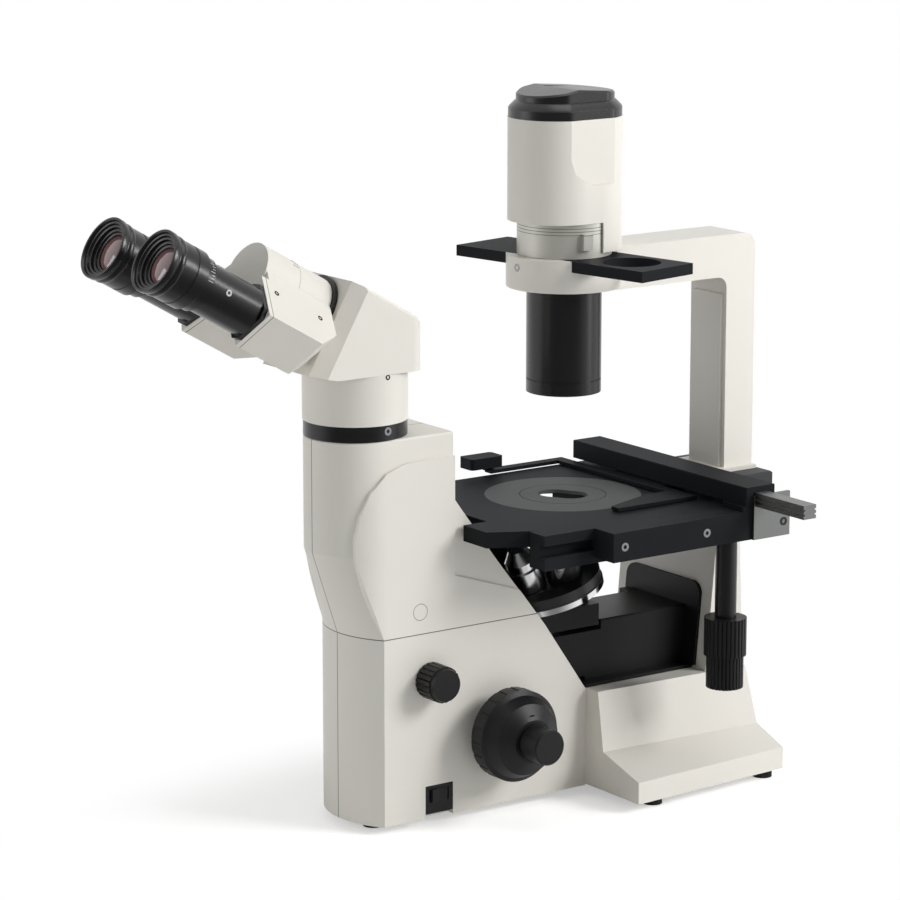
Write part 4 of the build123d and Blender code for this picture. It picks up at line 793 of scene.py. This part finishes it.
mark_grey = black_finish("mark_grey", (0.05, 0.05, 0.05), 900.0, 0.00002, 0.5)
mark_white = black_finish("mark_white", (0.55, 0.55, 0.54), 900.0, 0.00002, 0.5)
DRUM_RADIUS, DRUM_SCALE_ALONG = 21.0, 37.6
RING_RADIUS, RING_SCALE_ALONG = 18.5, 117.2
for number in range(6):
    turn = math.radians(56 + number * 8)
    across, up = DRUM_RADIUS * math.cos(turn), DRUM_RADIUS * math.sin(turn)
    out = Vector((across, up * math.sin(TILT), up * math.cos(TILT)))
    length = 5.0 if number % 2 == 0 else 3.2
    start = on_eyeline(DRUM_SCALE_ALONG, across, up)
    end = on_eyeline(DRUM_SCALE_ALONG + length, across, up)
    stroke("scale_stroke_%d" % number, start, end, 0.5, 0.06, out, mark_grey, "wing_right")
for side, hand in (("right", 1), ("left", -1)):
    for number in range(13):
        turn = math.radians(10 + number * 7) if hand > 0 else math.radians(170 - number * 7)
        across, up = math.cos(turn), math.sin(turn)
        out = Vector((across, up * math.sin(TILT), up * math.cos(TILT)))
        across, up = HALF_IPD * hand + RING_RADIUS * across, RING_RADIUS * up - DROP
        start = on_eyeline(RING_SCALE_ALONG, across, up)
        end = on_eyeline(119.4 if number % 3 else 121.0, across, up)
        name = "dioptre_stroke_%s_%d" % (side, number)
        stroke(name, start, end, 0.35, 0.05, out, mark_white, "dioptre_" + side)
print("scale strokes made")

# %% [markdown]
# The background is plain white paper under soft light. The floor is pale in its colour, and
# to the camera both it and the world show as white. Reflections show that white too, but for
# one side of the room, which is dim, as behind a photographer, and keeps the blacks deep.

# %% Floor and background
ROOM_SIDE = (0.79, -0.61, 0.0)
ROOM_LEVEL = 0.22
PAPER_LIFT = 0.42
SKY_SEEN = 0.70
SKY_LIGHT = 0.30
FLOOR_SIZE = 8.0
FLOOR_DROP = 0.0002


def seen_directly(finish):
    """1 for what the camera or a glass shows, and 0 for light that falls on things."""
    camera_ray = finish.add("ShaderNodeLightPath", {}, {}, "Is Camera Ray")
    clear_ray = finish.add("ShaderNodeLightPath", {}, {}, "Is Transmission Ray")
    return finish.add("ShaderNodeMath", {"operation": "MAXIMUM"}, {0: camera_ray, 1: clear_ray})


def seen_in_gloss(finish, direction):
    """What a reflection shows: the white background, and the dim room behind the camera."""
    glossy_ray = finish.add("ShaderNodeLightPath", {}, {}, "Is Glossy Ray")
    level = finish.add("ShaderNodeVectorMath", {"operation": "NORMALIZE"}, {0: direction}, 0)
    toward = finish.along(level, ROOM_SIDE)
    inputs = {"Value": toward, "From Min": 0.15, "From Max": 0.75, "To Min": 1.0, "To Max": ROOM_LEVEL}
    room = finish.add("ShaderNodeMapRange", {"interpolation_type": "SMOOTHSTEP"}, inputs)
    return glossy_ray, room


def paper_finish():
    """White paper that keeps the shadow near the object and turns plain white further out."""
    finish = Finish("paper")
    grain = finish.noise(30.0, 2.0)
    pale = finish.blend(grain, rgb(0.95, 0.95, 0.95), rgb(0.93, 0.93, 0.93))
    glossy_ray, room = seen_in_gloss(finish, finish.place)
    direct = seen_directly(finish)
    lift = direct * PAPER_LIFT
    inputs = {"Base Color": pale, "Roughness": 0.9, "Emission Color": lift, "Emission Strength": 1.0}
    lit = finish.add("ShaderNodeBsdfPrincipled", {}, inputs)
    white = direct + glossy_ray * room
    plain = finish.add("ShaderNodeEmission", {}, {"Color": white, "Strength": 1.0})
    place = finish.add("ShaderNodeMapping", {}, {"Vector": finish.place, "Scale": (1.5, 1.0, 1.0)})
    distance = finish.add("ShaderNodeVectorMath", {"operation": "LENGTH"}, {0: place}, 1)
    inputs = {"Value": distance, "From Min": 0.20, "From Max": 0.36}
    far = finish.add("ShaderNodeMapRange", {"interpolation_type": "SMOOTHSTEP"}, inputs)
    mask = far * (direct + glossy_ray)
    both = finish.add("ShaderNodeMixShader", {}, {0: mask, 1: lit, 2: plain})
    finish.add("ShaderNodeOutputMaterial", {}, {"Surface": both})
    return finish.material


sheet = bmesh.new()
bmesh.ops.create_grid(sheet, x_segments=1, y_segments=1, size=FLOOR_SIZE)
floor = new_piece("floor", sheet)
floor.location = (0, 0, -FLOOR_DROP)
paint(floor, paper_finish())

world = bpy.data.worlds.new("studio")
bpy.context.scene.world = world
world.use_nodes = True
sky = Finish.__new__(Finish)
sky.tree = world.node_tree
sky.tree.nodes.clear()
ray_direction = sky.add("ShaderNodeTexCoord", {}, {}, "Generated")
glossy_ray, room = seen_in_gloss(sky, ray_direction)
strength = seen_directly(sky) * SKY_SEEN + glossy_ray * (room - SKY_LIGHT) + SKY_LIGHT
air = sky.add("ShaderNodeBackground", {}, {"Color": strength, "Strength": 1.0})
sky.add("ShaderNodeOutputWorld", {}, {"Surface": air})
print("floor and world made")

# %% [markdown]
# A large soft lamp high on the camera's side gives the long soft gradients on the housings.
# A weaker one on the other side opens the shadows, a top lamp lights the flat tops, and a
# narrow one low at the side draws the edges of the base.


# %% Lamps
def soft_lamp(name, place, target, width, height, power):
    """A rectangular area lamp that looks at a target."""
    data = bpy.data.lights.new(name, "AREA")
    data.shape = "RECTANGLE"
    data.size = width
    data.size_y = height
    data.energy = power
    lamp = bpy.data.objects.new(name, data)
    bpy.context.scene.collection.objects.link(lamp)
    lamp.location = Vector(place)
    lamp.rotation_euler = (Vector(target) - lamp.location).to_track_quat("-Z", "Y").to_euler()
    return lamp


soft_lamp("key", (1.65, 1.3, 1.3), (0, 0, 0.2), 0.9, 0.9, 33.0)
soft_lamp("fill", (-0.9, -1.6, 0.7), (0, 0, 0.2), 0.9, 0.9, 6.0)
soft_lamp("top", (0.2, 0.3, 1.9), (0, 0, 0.2), 1.0, 1.0, 5.5)
soft_lamp("edge", (0.95, 1.25, 0.42), (0, 0, 0.25), 0.22, 0.8, 2.0)
print("lamps made")

# %% [markdown]
# The Standard view shows a colour as it is written, so that the cream stays cream in any light.

# %% Colour management
bpy.context.scene.view_settings.view_transform = "Standard"
